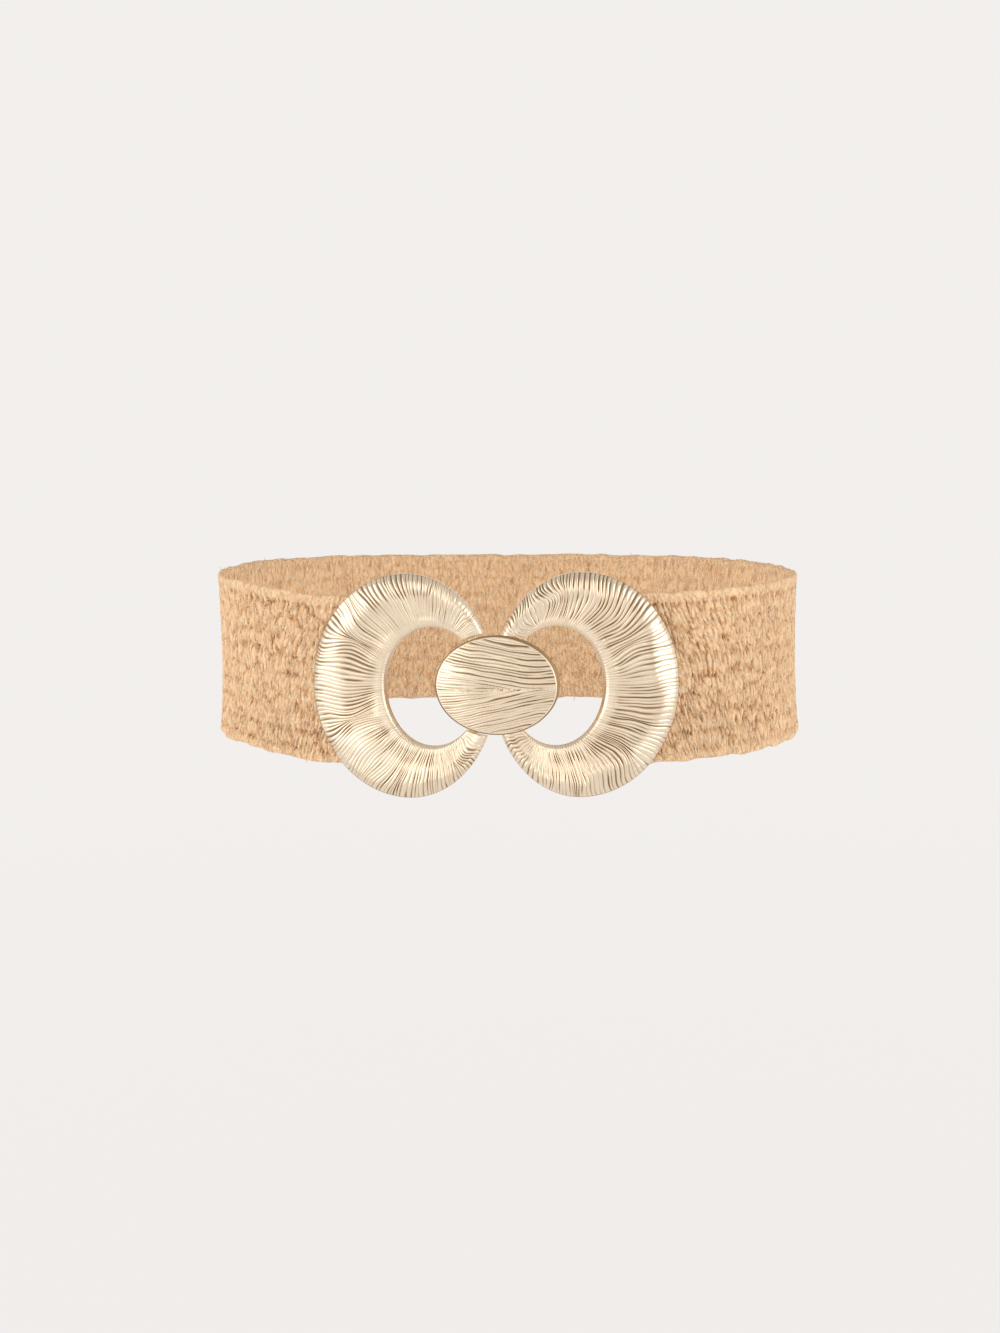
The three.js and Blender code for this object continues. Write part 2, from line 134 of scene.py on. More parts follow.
world = bpy.data.worlds.new("pale_studio")
bpy.context.scene.world = world
world.use_nodes = True
room = world.node_tree
room.nodes.clear()
direction = add_node(room, "TexCoord")
facing = add_node(
    room, "VectorMath", {0: direction.outputs["Generated"], 1: (0, -1, 0)}, operation="DOT_PRODUCT"
)
facing_share = add_node(
    room, "MapRange", {"Value": facing.outputs["Value"], "From Min": -1, "From Max": 1}
)
room_ramp = add_node(room, "ValToRGB", {"Fac": facing_share})
set_ramp(
    room_ramp.color_ramp,
    [((row["facing"] + 1) / 2, (*row["light"], 1)) for row in ROOM_LIGHT],
)
upward_axes = add_node(room, "SeparateXYZ", {0: direction.outputs["Generated"]})
ceiling = add_node(
    room,
    "MapRange",
    {
        "Value": upward_axes.outputs["Z"],
        "From Min": CEILING_STARTS,
        "From Max": CEILING_ENDS,
        "To Min": 1,
        "To Max": CEILING_LIGHT,
    },
)
lit_room = add_node(room, "VectorMath", {0: room_ramp, 3: ceiling}, operation="SCALE")
seen_by = add_node(room, "LightPath")
backdrop_or_room = add_node(
    room,
    "Mix",
    {0: seen_by.outputs["Is Camera Ray"], 6: lit_room, 7: linear(BACKDROP)},
    data_type="RGBA",
)
room_glow = add_node(room, "Background", {"Color": backdrop_or_room.outputs[2]})
add_node(room, "OutputWorld", {"Surface": room_glow})

# Matt and evenly pale, so that the eye sees hardly any shade or edge on it.
floor_material, floor_tree = new_material("pale_matt_board")
floor_place = add_node(floor_tree, "TexCoord")
floor_distance = add_node(
    floor_tree, "VectorMath", {0: floor_place.outputs["Object"]}, operation="LENGTH"
)
floor_fade = add_node(
    floor_tree,
    "MapRange",
    {
        "Value": floor_distance.outputs["Value"],
        "From Min": FADE_STARTS * MM,
        "From Max": FADE_ENDS * MM,
        "To Min": FADE_LEAST,
    },
    interpolation_type="SMOOTHSTEP",
)
board = add_node(floor_tree, "BsdfDiffuse", {"Color": linear(FLOOR_BOARD), "Roughness": 0.5})
far_glow = add_node(floor_tree, "Emission", {"Color": linear(BACKDROP)})
floor_mix = add_node(floor_tree, "MixShader", {0: floor_fade, 1: board, 2: far_glow})
add_node(floor_tree, "OutputMaterial", {"Surface": floor_mix})

floor_mesh = bpy.data.meshes.new("studio_floor")
floor_turns = np.linspace(0, 2 * math.pi, 96, endpoint=False)
floor_mesh.from_pydata(
    [(FLOOR_RADIUS * MM * math.cos(a), FLOOR_RADIUS * MM * math.sin(a), 0) for a in floor_turns],
    [],
    [list(range(len(floor_turns)))],
)
floor_mesh.materials.append(floor_material)
floor = bpy.data.objects.new("studio_floor", floor_mesh)
floor.location.z = FLOOR_LEVEL * MM
bpy.context.scene.collection.objects.link(floor)

for box in SOFTBOXES:
    lamp = bpy.data.lights.new(box["name"], "AREA")
    lamp.shape = "RECTANGLE"
    lamp.size = box["size"][0] * MM
    lamp.size_y = box["size"][1] * MM
    lamp.energy = box["power"]
    holder = bpy.data.objects.new(box["name"], lamp)
    holder.location = [place * MM for place in box["place"]]
    holder.rotation_euler = holder.location.to_track_quat("Z", "Y").to_euler()
    holder.visible_camera = False
    bpy.context.scene.collection.objects.link(holder)

# The stretch band.
# One wide strip of woven paper straw, shirred by rows of elastic thread that gather it into
# small upright folds, with a plain hem along the top and the bottom. Each end turns round the bar
# behind a crescent and is sewn back on the inside as a short tab. It is worn as an oval loop.
WAIST_HALF_WIDTH = 119
WAIST_HALF_DEPTH = 92
BAND_HEIGHT = 66
BAND_THICKNESS = 2.2
BAND_RISE = 1
SIDE_RISE = 3
RISE_STARTS = 60
RISE_FULL = 120
RISE_ENDS = 200
TOP_FLARE = 0.8
BOTTOM_FLARE = 1.6
FLARE_STARTS = 76
FLARE_FULL = 112
TAB_LENGTH = 24
LAYER_GAP = 0.4
BELT_BAR_PLACE = 51
BELT_BAR_WIDTH = 4
BELT_BAR_THICKNESS = 1.8
BAR_CLEARANCE = 0.3
FRONT_STEP = 0.38  # along the cloth, between two columns of its outer face
BACK_STEP = 0.64
FRONT_REACH = 105  # how far the finer columns go from each bar
ROW_STEP = 1.05
INNER_ROWS = 18
HEM_WIDTH = 4.6
ELASTIC_ROWS = 9  # counting the two that close the hems
ROW_WANDER = 0.5
ROW_WIDTH = 1.0
ROW_PULL = {"top hem": 0.62, "field": 0.16, "bottom": 0.46}  # how much each row gathers the folds
FOLD_SPACING = 1.85
FOLD_RUN = 6.8  # how far up the band a fold goes before it parts or ends
FOLD_DEPTH = 1.15
PIT_DEPTH = 0.35  # more, where three folds meet
ROW_DEPTH = 0.7  # more, where a fold's valley meets a row of elastic
CRINKLE_DEPTH = 0.3
FOLD_LEAN = {"left": 0.24, "right": 0.42}  # sideways for each mm down, beside the crescents
LEAN_ENDS = 118
HEM_WAVE = {"top": 0.35, "bottom": 0.6}
HEM_WAVE_SPACING = 5.5
VALLEY_WIDTH = 0.17  # of a fold, between two folds
PIT_WIDTH = 0.22
FACE_LIFT = 0.2  # of the folds' tops over the cloth's plain face
INNER_DEPTH = 0.4  # of the outer face's
INNER_SHADE = 0.45
# Unevenness of the folds: how much, over what width and height, and from which random numbers.
UNEVENNESS = {
    "sway": {"most": 0.9, "width": 6, "height": 6, "seed": 11},
    "wander": {"most": 0.35, "width": 2.2, "height": 3, "seed": 17},
    "ends": {"most": 0.6, "width": 5, "height": 9, "seed": 18},
    "depth": {"most": 0.6, "width": 2.3, "height": 2.8, "seed": 15},
    "crinkle": {"most": 0.5, "width": 1.15, "height": 2.3, "seed": 13},
    "stroke": {"most": 1, "width": 1.3, "height": 9, "seed": 19},
}
LOOSE_ENDS = 26  # straws that have come out of the hems
LOOSE_RADIUS = 0.16
LOOSE_LENGTH = (1.2, 2.6)
LOOSE_ON_TOP = 0.55  # how many of them stand on the top hem
LOOSE_MARGIN = 4  # from the ends of the run
LOOSE_ROOT = 0.9  # below the hem's edge
LOOSE_LEAN = 1.1
LOOSE_AWAY = 0.4  # how much less they lean out from the cloth than along it
LOOSE_DROOP = 0.5
FIRST_LOOSE = {"place": -11, "length": 3.2, "leans": (0.2, 0.9)}
STRAW_LIGHT = "fedfba"
STRAW_MIDDLE = "fdd6aa"
STRAW_DARK = "eeb681"
# The colour of the painted shade in the straw's folds, pits and creases.
STRAW_PAINTED_SHADE = "a8641c"
STRAND_WIDTH = 1.2
STRAND_LENGTH = 3.4
CREASE_WIDTH = 1.7
CREASE_LENGTH = 7.5

FRONT_LENGTH = BELT_BAR_PLACE + BELT_BAR_WIDTH / 2


def front_radius():
    """The radius at which a front arc of that length runs smoothly into the side's arc."""
    low, high = WAIST_HALF_WIDTH, 100 * WAIST_HALF_WIDTH
    for _ in range(60):
        radius = (low + high) / 2
        angle = FRONT_LENGTH / radius
        across_width = (radius - WAIST_HALF_WIDTH) * math.cos(angle)
        across_depth = (radius - WAIST_HALF_DEPTH) * (1 - math.sin(angle))
        if across_width < across_depth:
            low = radius
        else:
            high = radius
    return (low + high) / 2


FRONT_RADIUS = front_radius()
SIDE_RADIUS = (2 * FRONT_RADIUS * WAIST_HALF_DEPTH - WAIST_HALF_WIDTH**2 - WAIST_HALF_DEPTH**2) / (
    2 * (FRONT_RADIUS - WAIST_HALF_WIDTH)
)
SIDE_CENTRE = WAIST_HALF_WIDTH - SIDE_RADIUS
FRONT_CENTRE = FRONT_RADIUS - WAIST_HALF_DEPTH
FRONT_ANGLE = FRONT_LENGTH / FRONT_RADIUS
SIDE_LENGTH = SIDE_RADIUS * (math.pi - 2 * FRONT_ANGLE)
HALF_GIRTH = 2 * FRONT_LENGTH + SIDE_LENGTH


def smoothstep(value, low, high):
    """0 up to low, 1 from high on, and a smooth rise between them."""
    share = np.clip((np.asarray(value, float) - low) / (high - low), 0, 1)
    return share * share * (3 - 2 * share)


def waist_point(along, out):
    """Points of the plan, "along" the waist from the front middle and "out" from its oval."""
    on_side = along - FRONT_LENGTH
    on_back = on_side - SIDE_LENGTH
    places = [on_side < 0, on_back < 0]
    centre_x = np.select(places, [0.0, SIDE_CENTRE], 0.0)
    centre_y = np.select(places, [FRONT_CENTRE, 0.0], -FRONT_CENTRE)
    radius = out + np.select(places, [FRONT_RADIUS, SIDE_RADIUS], FRONT_RADIUS)
    angle = np.select(
        places,
        [along / FRONT_RADIUS, FRONT_ANGLE + on_side / SIDE_RADIUS],
        math.pi - FRONT_ANGLE + on_back / FRONT_RADIUS,
    )
    return np.stack([centre_x + radius * np.sin(angle), centre_y - radius * np.cos(angle)], -1)


def soft_noise(x, y, seed):
    """Random heights from -1 to 1, one at each whole x and y, with smooth slopes between."""
    heights = np.random.default_rng(seed).uniform(-1, 1, (1024, 64))
    x, y = np.broadcast_arrays(x, y)
    column, row = np.floor(x).astype(int), np.floor(y).astype(int)
    u, v = smoothstep(x - column, 0, 1), smoothstep(y - row, 0, 1)
    left, right = column % 1024, (column + 1) % 1024
    below, above = row % 64, (row + 1) % 64
    lower = heights[left, below] * (1 - u) + heights[right, below] * u
    upper = heights[left, above] * (1 - u) + heights[right, above] * u
    return lower * (1 - v) + upper * v


def grid_faces(numbers):
    """The four-sided faces between the neighbours of a grid of point numbers."""
    corners = (numbers[:-1, :-1], numbers[:-1, 1:], numbers[1:, 1:], numbers[1:, :-1])
    return np.stack([corner.ravel() for corner in corners], 1).tolist()


def tube_faces(numbers):
    """The faces of a closed tube, whose rows of point numbers run round it."""
    round_it = np.concatenate([numbers, numbers[:, :1]], 1)
    return grid_faces(round_it) + [numbers[0].tolist(), numbers[-1].tolist()]


def add_piece(name, points, faces, material, attributes):
    """A smooth mesh of points in mm, riding on the belt, with a named value for each point."""
    mesh = bpy.data.meshes.new(name)
    mesh.from_pydata((points * MM).tolist(), [], faces)
    shape = bmesh.new()
    shape.from_mesh(mesh)
    bmesh.ops.recalc_face_normals(shape, faces=shape.faces)
    shape.to_mesh(mesh)
    shape.free()
    mesh.shade_smooth()
    for label, values in attributes.items():
        kind = "FLOAT" if values.ndim == 1 else "FLOAT_VECTOR"
        field = "value" if values.ndim == 1 else "vector"
        layer = mesh.attributes.new(label, kind, "POINT")
        layer.data.foreach_set(field, values.astype(np.float32).ravel())
    mesh.materials.append(material)
    piece = bpy.data.objects.new(name, mesh)
    bpy.context.scene.collection.objects.link(piece)
    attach(piece, "root")
    return piece


# The cloth's own length runs from the end of the left tab, round the back, to the right tab's.
turn_radius = (BAND_THICKNESS + BELT_BAR_THICKNESS) / 2 + BAR_CLEARANCE
turn_place = BELT_BAR_PLACE - BELT_BAR_WIDTH / 2
run_length = HALF_GIRTH - turn_place
turn_length = math.pi * turn_radius
half_cloth = run_length + turn_length + TAB_LENGTH
half_columns = np.concatenate(
    [
        np.arange(0, run_length - FRONT_REACH, BACK_STEP),
        np.arange(run_length - FRONT_REACH, run_length + turn_length, FRONT_STEP),
        np.linspace(run_length + turn_length, half_cloth, round(TAB_LENGTH / BACK_STEP)),
    ]
)
cloth_place = np.concatenate([-half_columns[:0:-1], half_columns])
column_count = len(cloth_place)
from_back = np.abs(cloth_place)
turned = np.clip((from_back - run_length) / turn_radius, 0, math.pi)
on_tab = np.clip(from_back - run_length - turn_length, 0, None)
tab_ease = smoothstep(on_tab / TAB_LENGTH, BELT_BAR_WIDTH / TAB_LENGTH, 0.65)
along = HALF_GIRTH - np.minimum(from_back, run_length) - turn_radius * np.sin(turned) + on_tab
out = turn_radius * (np.cos(turned) - 1)
out = out + tab_ease * (2 * turn_radius - BAND_THICKNESS - LAYER_GAP)
middle_line = waist_point(along, out)
on_left = cloth_place < 0
middle_line[on_left, 0] *= -1
forward = np.gradient(middle_line, axis=0)
forward /= np.linalg.norm(forward, axis=1, keepdims=True)
outward = np.stack([-forward[:, 1], forward[:, 0]], 1)
goes_up = smoothstep(along, RISE_STARTS, RISE_FULL) - smoothstep(along, RISE_ENDS, HALF_GIRTH)
rise = BAND_RISE + SIDE_RISE * goes_up * on_left
flare = smoothstep(along, FLARE_STARTS, FLARE_FULL)
on_run = 1 - smoothstep(from_back, run_length - 2, run_length + 1)
cloth_end = smoothstep(half_cloth - from_back, 0, 2.5)


def fold_cells(x, y, seed):
    """How far the three nearest of a loose grid of folds' middles are from each point."""
    middles = np.random.default_rng(seed).uniform(0.1, 0.9, (1024, 64, 2))
    column, row = np.floor(x).astype(int), np.floor(y).astype(int)
    away = []
    for i in (-1, 0, 1):
        for j in (-1, 0, 1):
            middle = middles[(column + i) % 1024, (row + j) % 64]
            away.append(np.hypot(column + i + middle[..., 0] - x, row + j + middle[..., 1] - y))
    return np.sort(np.stack(away), axis=0)[:3]


def uneven(kind, x, y):
    """One of the kinds of unevenness at places in mm."""
    row = UNEVENNESS[kind]
    return row["most"] * soft_noise(x / row["width"], y / row["height"], row["seed"])


def fold_relief(place, up, near_bar, left):
    """How far the shirred face lies below its highest points, in mm, and its painted shade in folds.
    """
    half = BAND_HEIGHT / 2
    lean = np.where(left, FOLD_LEAN["left"], FOLD_LEAN["right"]) * near_bar
    leaning = place + np.sign(place) * -lean * up
    swaying = leaning + uneven("sway", leaning, up)
    wandering = swaying + uneven("wander", leaning, up)
    level = up / FOLD_RUN + uneven("ends", place, up)
    nearest = fold_cells(wandering / FOLD_SPACING, level, 12)
    valley = np.exp(-(((nearest[1] - nearest[0]) / VALLEY_WIDTH) ** 1.5))
    meeting = np.exp(-(((nearest[2] - nearest[0]) / PIT_WIDTH) ** 2))
    how_deep = np.clip(0.7 + uneven("depth", place, up), 0.2, 1.25)
    crinkle = 0.5 + uneven("crinkle", wandering, up)
    rows = np.linspace(HEM_WIDTH - half, half - HEM_WIDTH, ELASTIC_ROWS)
    pulls = np.full(ELASTIC_ROWS, ROW_PULL["field"])
    pulls[-1] = ROW_PULL["top hem"]
    pulls[:2] = ROW_PULL["bottom"]
    pulls[-4] = (ROW_PULL["field"] + ROW_PULL["bottom"]) / 2
    row_up = up + ROW_WANDER * soft_noise(place / 22, np.round(up / 7.1), 14)
    to_rows = np.exp(-(((row_up[..., None] - rows) / ROW_WIDTH) ** 2))
    row_valley = np.max(to_rows * pulls, axis=-1)
    in_hem = smoothstep(np.abs(up), half - HEM_WIDTH + 0.4, half - HEM_WIDTH + 1.8)
    field = 1 - np.where(up > 0, 0.85, 0.6) * in_hem
    strokes = smoothstep(np.abs(uneven("stroke", wandering, up)), 0.45, 0.05)
    depth = FOLD_DEPTH * valley * how_deep + PIT_DEPTH * meeting * how_deep
    depth = field * (depth + CRINKLE_DEPTH * crinkle)
    depth = depth + ROW_DEPTH * row_valley * np.maximum(valley, strokes)
    # Painted shade, darker in the valleys, the pits and the rows, and on the folds' flanks.
    shade = field * (0.66 * valley * how_deep + 0.2 * meeting * how_deep + 0.14 * nearest[0])
    shade = shade + 0.75 * row_valley * np.maximum(valley, strokes)
    return depth, np.clip(shade, 0, 1.2), swaying


def band_face(columns, up, side):
    """Points, cloth places and painted shades of one face: side is 1 for the outer, -1 for the
    inner.
    """
    half = BAND_HEIGHT / 2
    face = BAND_THICKNESS / 2
    place, ups = np.broadcast_arrays(cloth_place[columns][:, None], up[None, :])
    near_bar = 1 - smoothstep(along[columns], 60, LEAN_ENDS)[:, None]
    depth, shade, swaying = fold_relief(place, ups, near_bar, on_left[columns][:, None])
    quiet = (0.15 + 0.85 * on_run[columns])[:, None] * cloth_end[columns][:, None]
    if side < 0:
        depth = INNER_DEPTH * depth
        shade = INNER_SHADE * shade
    depth = depth * quiet
    past = np.clip((np.abs(ups) - (half - face)) / face, 0, 1)
    roundness = np.sqrt(1 - past**2)
    wave_height = np.where(ups > 0, HEM_WAVE["top"], HEM_WAVE["bottom"])
    wave = wave_height * soft_noise(place / HEM_WAVE_SPACING, np.sign(ups) * 3 + 10, 16)
    edge_share = smoothstep(np.abs(ups), half - HEM_WIDTH, half)
    lowered = ups + wave * edge_share * on_run[columns][:, None]
    stands = side * (face + FACE_LIFT - depth) * roundness
    edge_flare = np.where(ups > 0, TOP_FLARE, BOTTOM_FLARE)
    stands = stands + flare[columns][:, None] * edge_flare * (2 * ups / BAND_HEIGHT) ** 2
    at = middle_line[columns][:, None, :] + outward[columns][:, None, :] * stands[..., None]
    points = np.concatenate([at, (rise[columns][:, None] + lowered)[..., None]], -1)
    cloth = np.stack([swaying, ups, np.full_like(ups, side)], -1)
    return points.reshape(-1, 3), cloth.reshape(-1, 3), shade.ravel()


# The hem's edge is round, so its rows lie close together.
hem_turns = np.radians([0, 30, 55, 75])
hem_rows = BAND_HEIGHT / 2 - BAND_THICKNESS / 2 * (1 - np.cos(hem_turns))
flat_half = BAND_HEIGHT / 2 - BAND_THICKNESS / 2
flat_rows = np.linspace(-flat_half, flat_half, round(2 * flat_half / ROW_STEP) + 1)
outer_up = np.concatenate([-hem_rows, flat_rows, hem_rows[::-1]])
inner_up = np.linspace(-flat_half, flat_half, INNER_ROWS)
every_column = np.arange(column_count)
second_columns = every_column[::2]
outer_points, outer_cloth, outer_shade = band_face(every_column, outer_up, 1)
inner_points, inner_cloth, inner_shade = band_face(second_columns, inner_up, -1)

outer_numbers = np.arange(len(outer_points)).reshape(column_count, -1)
inner_numbers = len(outer_points) + np.arange(len(inner_points)).reshape(len(second_columns), -1)
band_faces = grid_faces(outer_numbers) + grid_faces(inner_numbers)
for edge in (0, -1):
    hem_line = outer_numbers[:, edge]
    inner_line = inner_numbers[:, edge]
    hem_strip = [hem_line[:-2:2], hem_line[1:-1:2], hem_line[2::2], inner_line[1:], inner_line[:-1]]
    band_faces += np.stack(hem_strip, 1).tolist()
    band_faces.append([*outer_numbers[edge], *inner_numbers[edge][::-1]])


def tubes(paths, radius, sides):
    """Points and faces of closed round tubes, each along a row of points, thinner at its ends."""
    heading = np.gradient(paths, axis=1)
    heading /= np.linalg.norm(heading, axis=2, keepdims=True)
    no_heading = [0.8, 0.5, 0.33]
    across_tube = np.cross(heading, no_heading)
    across_tube /= np.linalg.norm(across_tube, axis=2, keepdims=True)
    up_tube = np.cross(heading, across_tube)
    turns = np.arange(sides)[:, None] * 2 * math.pi / sides
    rings = across_tube[:, :, None] * np.cos(turns) + up_tube[:, :, None] * np.sin(turns)
    nearly_end = 0.93  # a tube cut off just short of its point
    thickness = radius * np.sqrt(1 - np.linspace(-nearly_end, nearly_end, paths.shape[1]) ** 2)
    points = paths[:, :, None] + thickness[:, None, None] * rings
    numbers = np.arange(points[..., 0].size).reshape(points.shape[:3])
    return points.reshape(-1, 3), [face for tube in numbers for face in tube_faces(tube)]


def on_cloth(place, values):
    """The value of a row of the cloth's columns at other places along it."""
    return np.stack([np.interp(place, cloth_place, column) for column in np.transpose(values)], -1)


# A few straw ends stand out of the hems. The first is the one at the far left of the top hem.
loose = np.random.default_rng(71)
loose_place = loose.uniform(-run_length + LOOSE_MARGIN, run_length - LOOSE_MARGIN, LOOSE_ENDS)
loose_side = np.where(loose.uniform(0, 1, LOOSE_ENDS) < LOOSE_ON_TOP, 1, -1)
loose_length = loose.uniform(*LOOSE_LENGTH, LOOSE_ENDS)
leans = loose.uniform(-LOOSE_LEAN, LOOSE_LEAN, (LOOSE_ENDS, 2))
loose_place[0] = FIRST_LOOSE["place"] - HALF_GIRTH / 2
loose_side[0] = 1
loose_length[0] = FIRST_LOOSE["length"]
leans[0] = FIRST_LOOSE["leans"]
steps = np.linspace(0, 1, 6)[None, :, None]
root = on_cloth(loose_place, middle_line)
root = np.column_stack([root, on_cloth(loose_place, rise[:, None])[:, 0]])
root[:, 2] += loose_side * (BAND_HEIGHT / 2 - LOOSE_ROOT)
sideways = np.column_stack([on_cloth(loose_place, forward), np.zeros(LOOSE_ENDS)])
away = np.column_stack([on_cloth(loose_place, outward), np.zeros(LOOSE_ENDS)])
upwards = np.array([0, 0, 1]) * loose_side[:, None]
reach = upwards + leans[:, :1] * sideways + LOOSE_AWAY * leans[:, 1:] * away
reach = reach * loose_length[:, None]
droop = -leans[:, :1] * sideways * loose_length[:, None] * LOOSE_DROOP
loose_paths = root[:, None] + steps * reach[:, None] + steps**2 * droop[:, None]
loose_points, loose_faces = tubes(loose_paths, LOOSE_RADIUS, 4)
first_loose = len(outer_points) + len(inner_points)
band_faces += [[number + first_loose for number in face] for face in loose_faces]
loose_cloth = np.column_stack([loose_points[:, 0], loose_points[:, 2], np.ones(len(loose_points))])

# Paper straw is matt, with a faint sheen on its fibres. Its strands differ a little in tone. The
# warm brown of the valleys between the folds is painted shade, darker still in the pits, the rows
# and on the folds' flanks, and it shows the eye how closely the straw is shirred.
straw, straw_tree = new_material("woven_paper_straw")
cloth_at = add_node(straw_tree, "Attribute", attribute_name="cloth")
fold_painted_shade = add_node(straw_tree, "Attribute", attribute_name="fold_painted_shade")
strand_at = add_node(
    straw_tree,
    "VectorMath",
    {0: cloth_at.outputs["Vector"], 1: (1 / STRAND_WIDTH, 1 / STRAND_LENGTH, 1)},
    operation="MULTIPLY",
)
strand_tone = add_node(
    straw_tree, "TexNoise", {"Vector": strand_at, "Scale": 1, "Detail": 3, "Roughness": 0.6}
)
straw_colour = add_node(straw_tree, "ValToRGB", {"Fac": strand_tone})
set_ramp(
    straw_colour.color_ramp,
    [(0.32, linear(STRAW_DARK)), (0.48, linear(STRAW_MIDDLE)), (0.66, linear(STRAW_LIGHT))],
)
# Creases finer than the folds of the mesh: thin lines that run up the cloth, sunk by a bump and
# darkened by painted shade, more deeply inside the folds.
crease_at = add_node(
    straw_tree,
    "VectorMath",
    {0: cloth_at.outputs["Vector"], 1: (1 / CREASE_WIDTH, 1 / CREASE_LENGTH, 1)},
    operation="MULTIPLY",
)
crease_field = add_node(
    straw_tree, "TexNoise", {"Vector": crease_at, "Scale": 1, "Detail": 2, "Roughness": 0.55}
)
from_crease = add_node(straw_tree, "Math", {0: crease_field, 1: 0.5}, operation="SUBTRACT")
crease_distance = add_node(straw_tree, "Math", {0: from_crease}, operation="ABSOLUTE")
crease = add_node(
    straw_tree,
    "MapRange",
    {"Value": crease_distance, "From Max": 0.036, "To Min": 1, "To Max": 0},
    interpolation_type="SMOOTHSTEP",
)
shade_curve = add_node(
    straw_tree,
    "MapRange",
    {"Value": fold_painted_shade.outputs["Fac"], "From Min": 0.1, "From Max": 0.95, "To Max": 0.62},
)
crease_shade = add_node(
    straw_tree,
    "MapRange",
    {"Value": fold_painted_shade.outputs["Fac"], "From Max": 0.5, "To Min": 0.15, "To Max": 0.5},
)
# Painted shade: the folds' shade and the creases darken the straw towards its shade colour.
darkening = add_node(
    straw_tree,
    "Math",
    {0: crease, 1: crease_shade, 2: shade_curve},
    operation="MULTIPLY_ADD",
    use_clamp=True,
)
shaded_straw = add_node(
    straw_tree, "Mix", {0: darkening, 6: straw_colour, 7: linear(STRAW_PAINTED_SHADE)}, data_type="RGBA"
)
# The weave: flat strands that pass over and under each other, drawn 1.2 mm wide, coarser than
# real ones, because finer ones are lost in the picture.
weave_at = add_node(
    straw_tree,
    "VectorMath",
    {0: cloth_at.outputs["Vector"], 1: (math.pi / STRAND_WIDTH, math.pi / STRAND_WIDTH, 1)},
    operation="MULTIPLY",
)
weave_axes = add_node(straw_tree, "SeparateXYZ", {0: weave_at})
over = add_node(straw_tree, "Math", {0: weave_axes.outputs["X"]}, operation="SINE")
under = add_node(straw_tree, "Math", {0: weave_axes.outputs["Y"]}, operation="SINE")
crossing = add_node(straw_tree, "Math", {0: over, 1: under}, operation="MULTIPLY")
fibre_at = add_node(
    straw_tree,
    "VectorMath",
    {0: cloth_at.outputs["Vector"], 1: (0.85, 0.28, 1)},
    operation="MULTIPLY",
)
fibre = add_node(
    straw_tree, "TexNoise", {"Vector": fibre_at, "Scale": 1, "Detail": 4, "Roughness": 0.65}
)
weave_height = add_node(
    straw_tree, "Math", {0: crossing, 1: 0.25, 2: fibre}, operation="MULTIPLY_ADD"
)
creased_height = add_node(
    straw_tree, "Math", {0: crease, 1: -0.3, 2: weave_height}, operation="MULTIPLY_ADD"
)
weave_bump = add_node(
    straw_tree, "Bump", {"Strength": 1.0, "Distance": 0.0009, "Height": creased_height}
)
straw_roughness = add_node(straw_tree, "MapRange", {"Value": fibre, "To Min": 0.62, "To Max": 0.88})
straw_shader = add_node(
    straw_tree,
    "BsdfPrincipled",
    {
        "Base Color": shaded_straw.outputs[2],
        "Roughness": straw_roughness,
        "IOR": 1.46,
        "Specular IOR Level": 0.3,
        "Normal": weave_bump,
    },
)
add_node(straw_tree, "OutputMaterial", {"Surface": straw_shader})

band = add_piece(
    "straw_band",
    np.concatenate([outer_points, inner_points, loose_points]),
    band_faces,
    straw,
    {
        "cloth": np.concatenate([outer_cloth, inner_cloth, loose_cloth]),
        "fold_painted_shade": np.concatenate([outer_shade, inner_shade, np.zeros(len(loose_points))]),
    },
)
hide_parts("stretch_band")

# The tabs' stitches.
# Two upright rows of cream cotton thread near the end of each tab sew it down on the band. The
# stitches are drawn on the inside, where the tabs lie, because the crescents hide the others.
STITCH_ROWS = (2.5, 6)  # from the tab's end
STITCH_LENGTH = 2.9
STITCH_SPACING = 3.9
STITCH_RADIUS = 0.4
STITCH_STANDS = 0.5  # out of the cloth in its middle
STITCH_BOW = 2.2  # how fast it dips back into it
STITCHES = 16
THREAD = "fdf4e2"
# The colour of the painted shade between the plies' paler bands.
THREAD_PAINTED_SHADE = "e6cfa6"

stitch_steps = np.linspace(-0.5, 0.5, 7)
stitch_up = (np.arange(STITCHES) - (STITCHES - 1) / 2) * STITCH_SPACING
stitch_paths = []
for row_place in [side * (half_cloth - row) for side in (-1, 1) for row in STITCH_ROWS]:
    at = on_cloth([row_place], middle_line)[0]
    out_of_tab = on_cloth([row_place], outward)[0]
    lift = BAND_THICKNESS / 2 + STITCH_STANDS - STITCH_BOW * stitch_steps**2
    row_rise = on_cloth([row_place], rise[:, None])[0, 0]
    for up in stitch_up:
        ground = at + lift[:, None] * out_of_tab
        stitch_paths.append(np.column_stack([ground, row_rise + up + STITCH_LENGTH * stitch_steps]))
stitch_points, stitch_faces = tubes(np.array(stitch_paths), STITCH_RADIUS, 8)

# Matt cotton. Its twisted plies show as slanting paler bands, a painted highlight and shade
# drawn coarser than real ones.
thread, thread_tree = new_material("cream_cotton_thread")
thread_place = add_node(thread_tree, "TexCoord")
ply = add_node(
    thread_tree,
    "TexWave",
    {"Vector": thread_place.outputs["Object"], "Scale": 420, "Distortion": 2.0, "Detail": 2},
    bands_direction="DIAGONAL",
)
# Painted highlight and shade along the twisted plies.
thread_colour = add_node(
    thread_tree,
    "Mix",
    {0: ply.outputs["Fac"], 6: linear(THREAD_PAINTED_SHADE), 7: linear(THREAD)},
    data_type="RGBA",
)
ply_bump = add_node(
    thread_tree, "Bump", {"Strength": 0.5, "Distance": 0.0002, "Height": ply.outputs["Fac"]}
)
thread_shader = add_node(
    thread_tree,
    "BsdfPrincipled",
    {"Base Color": thread_colour.outputs[2], "Roughness": 0.78, "IOR": 1.5, "Normal": ply_bump},
)
add_node(thread_tree, "OutputMaterial", {"Surface": thread_shader})
stitches = add_piece("tab_stitches", stitch_points, stitch_faces, thread, {})

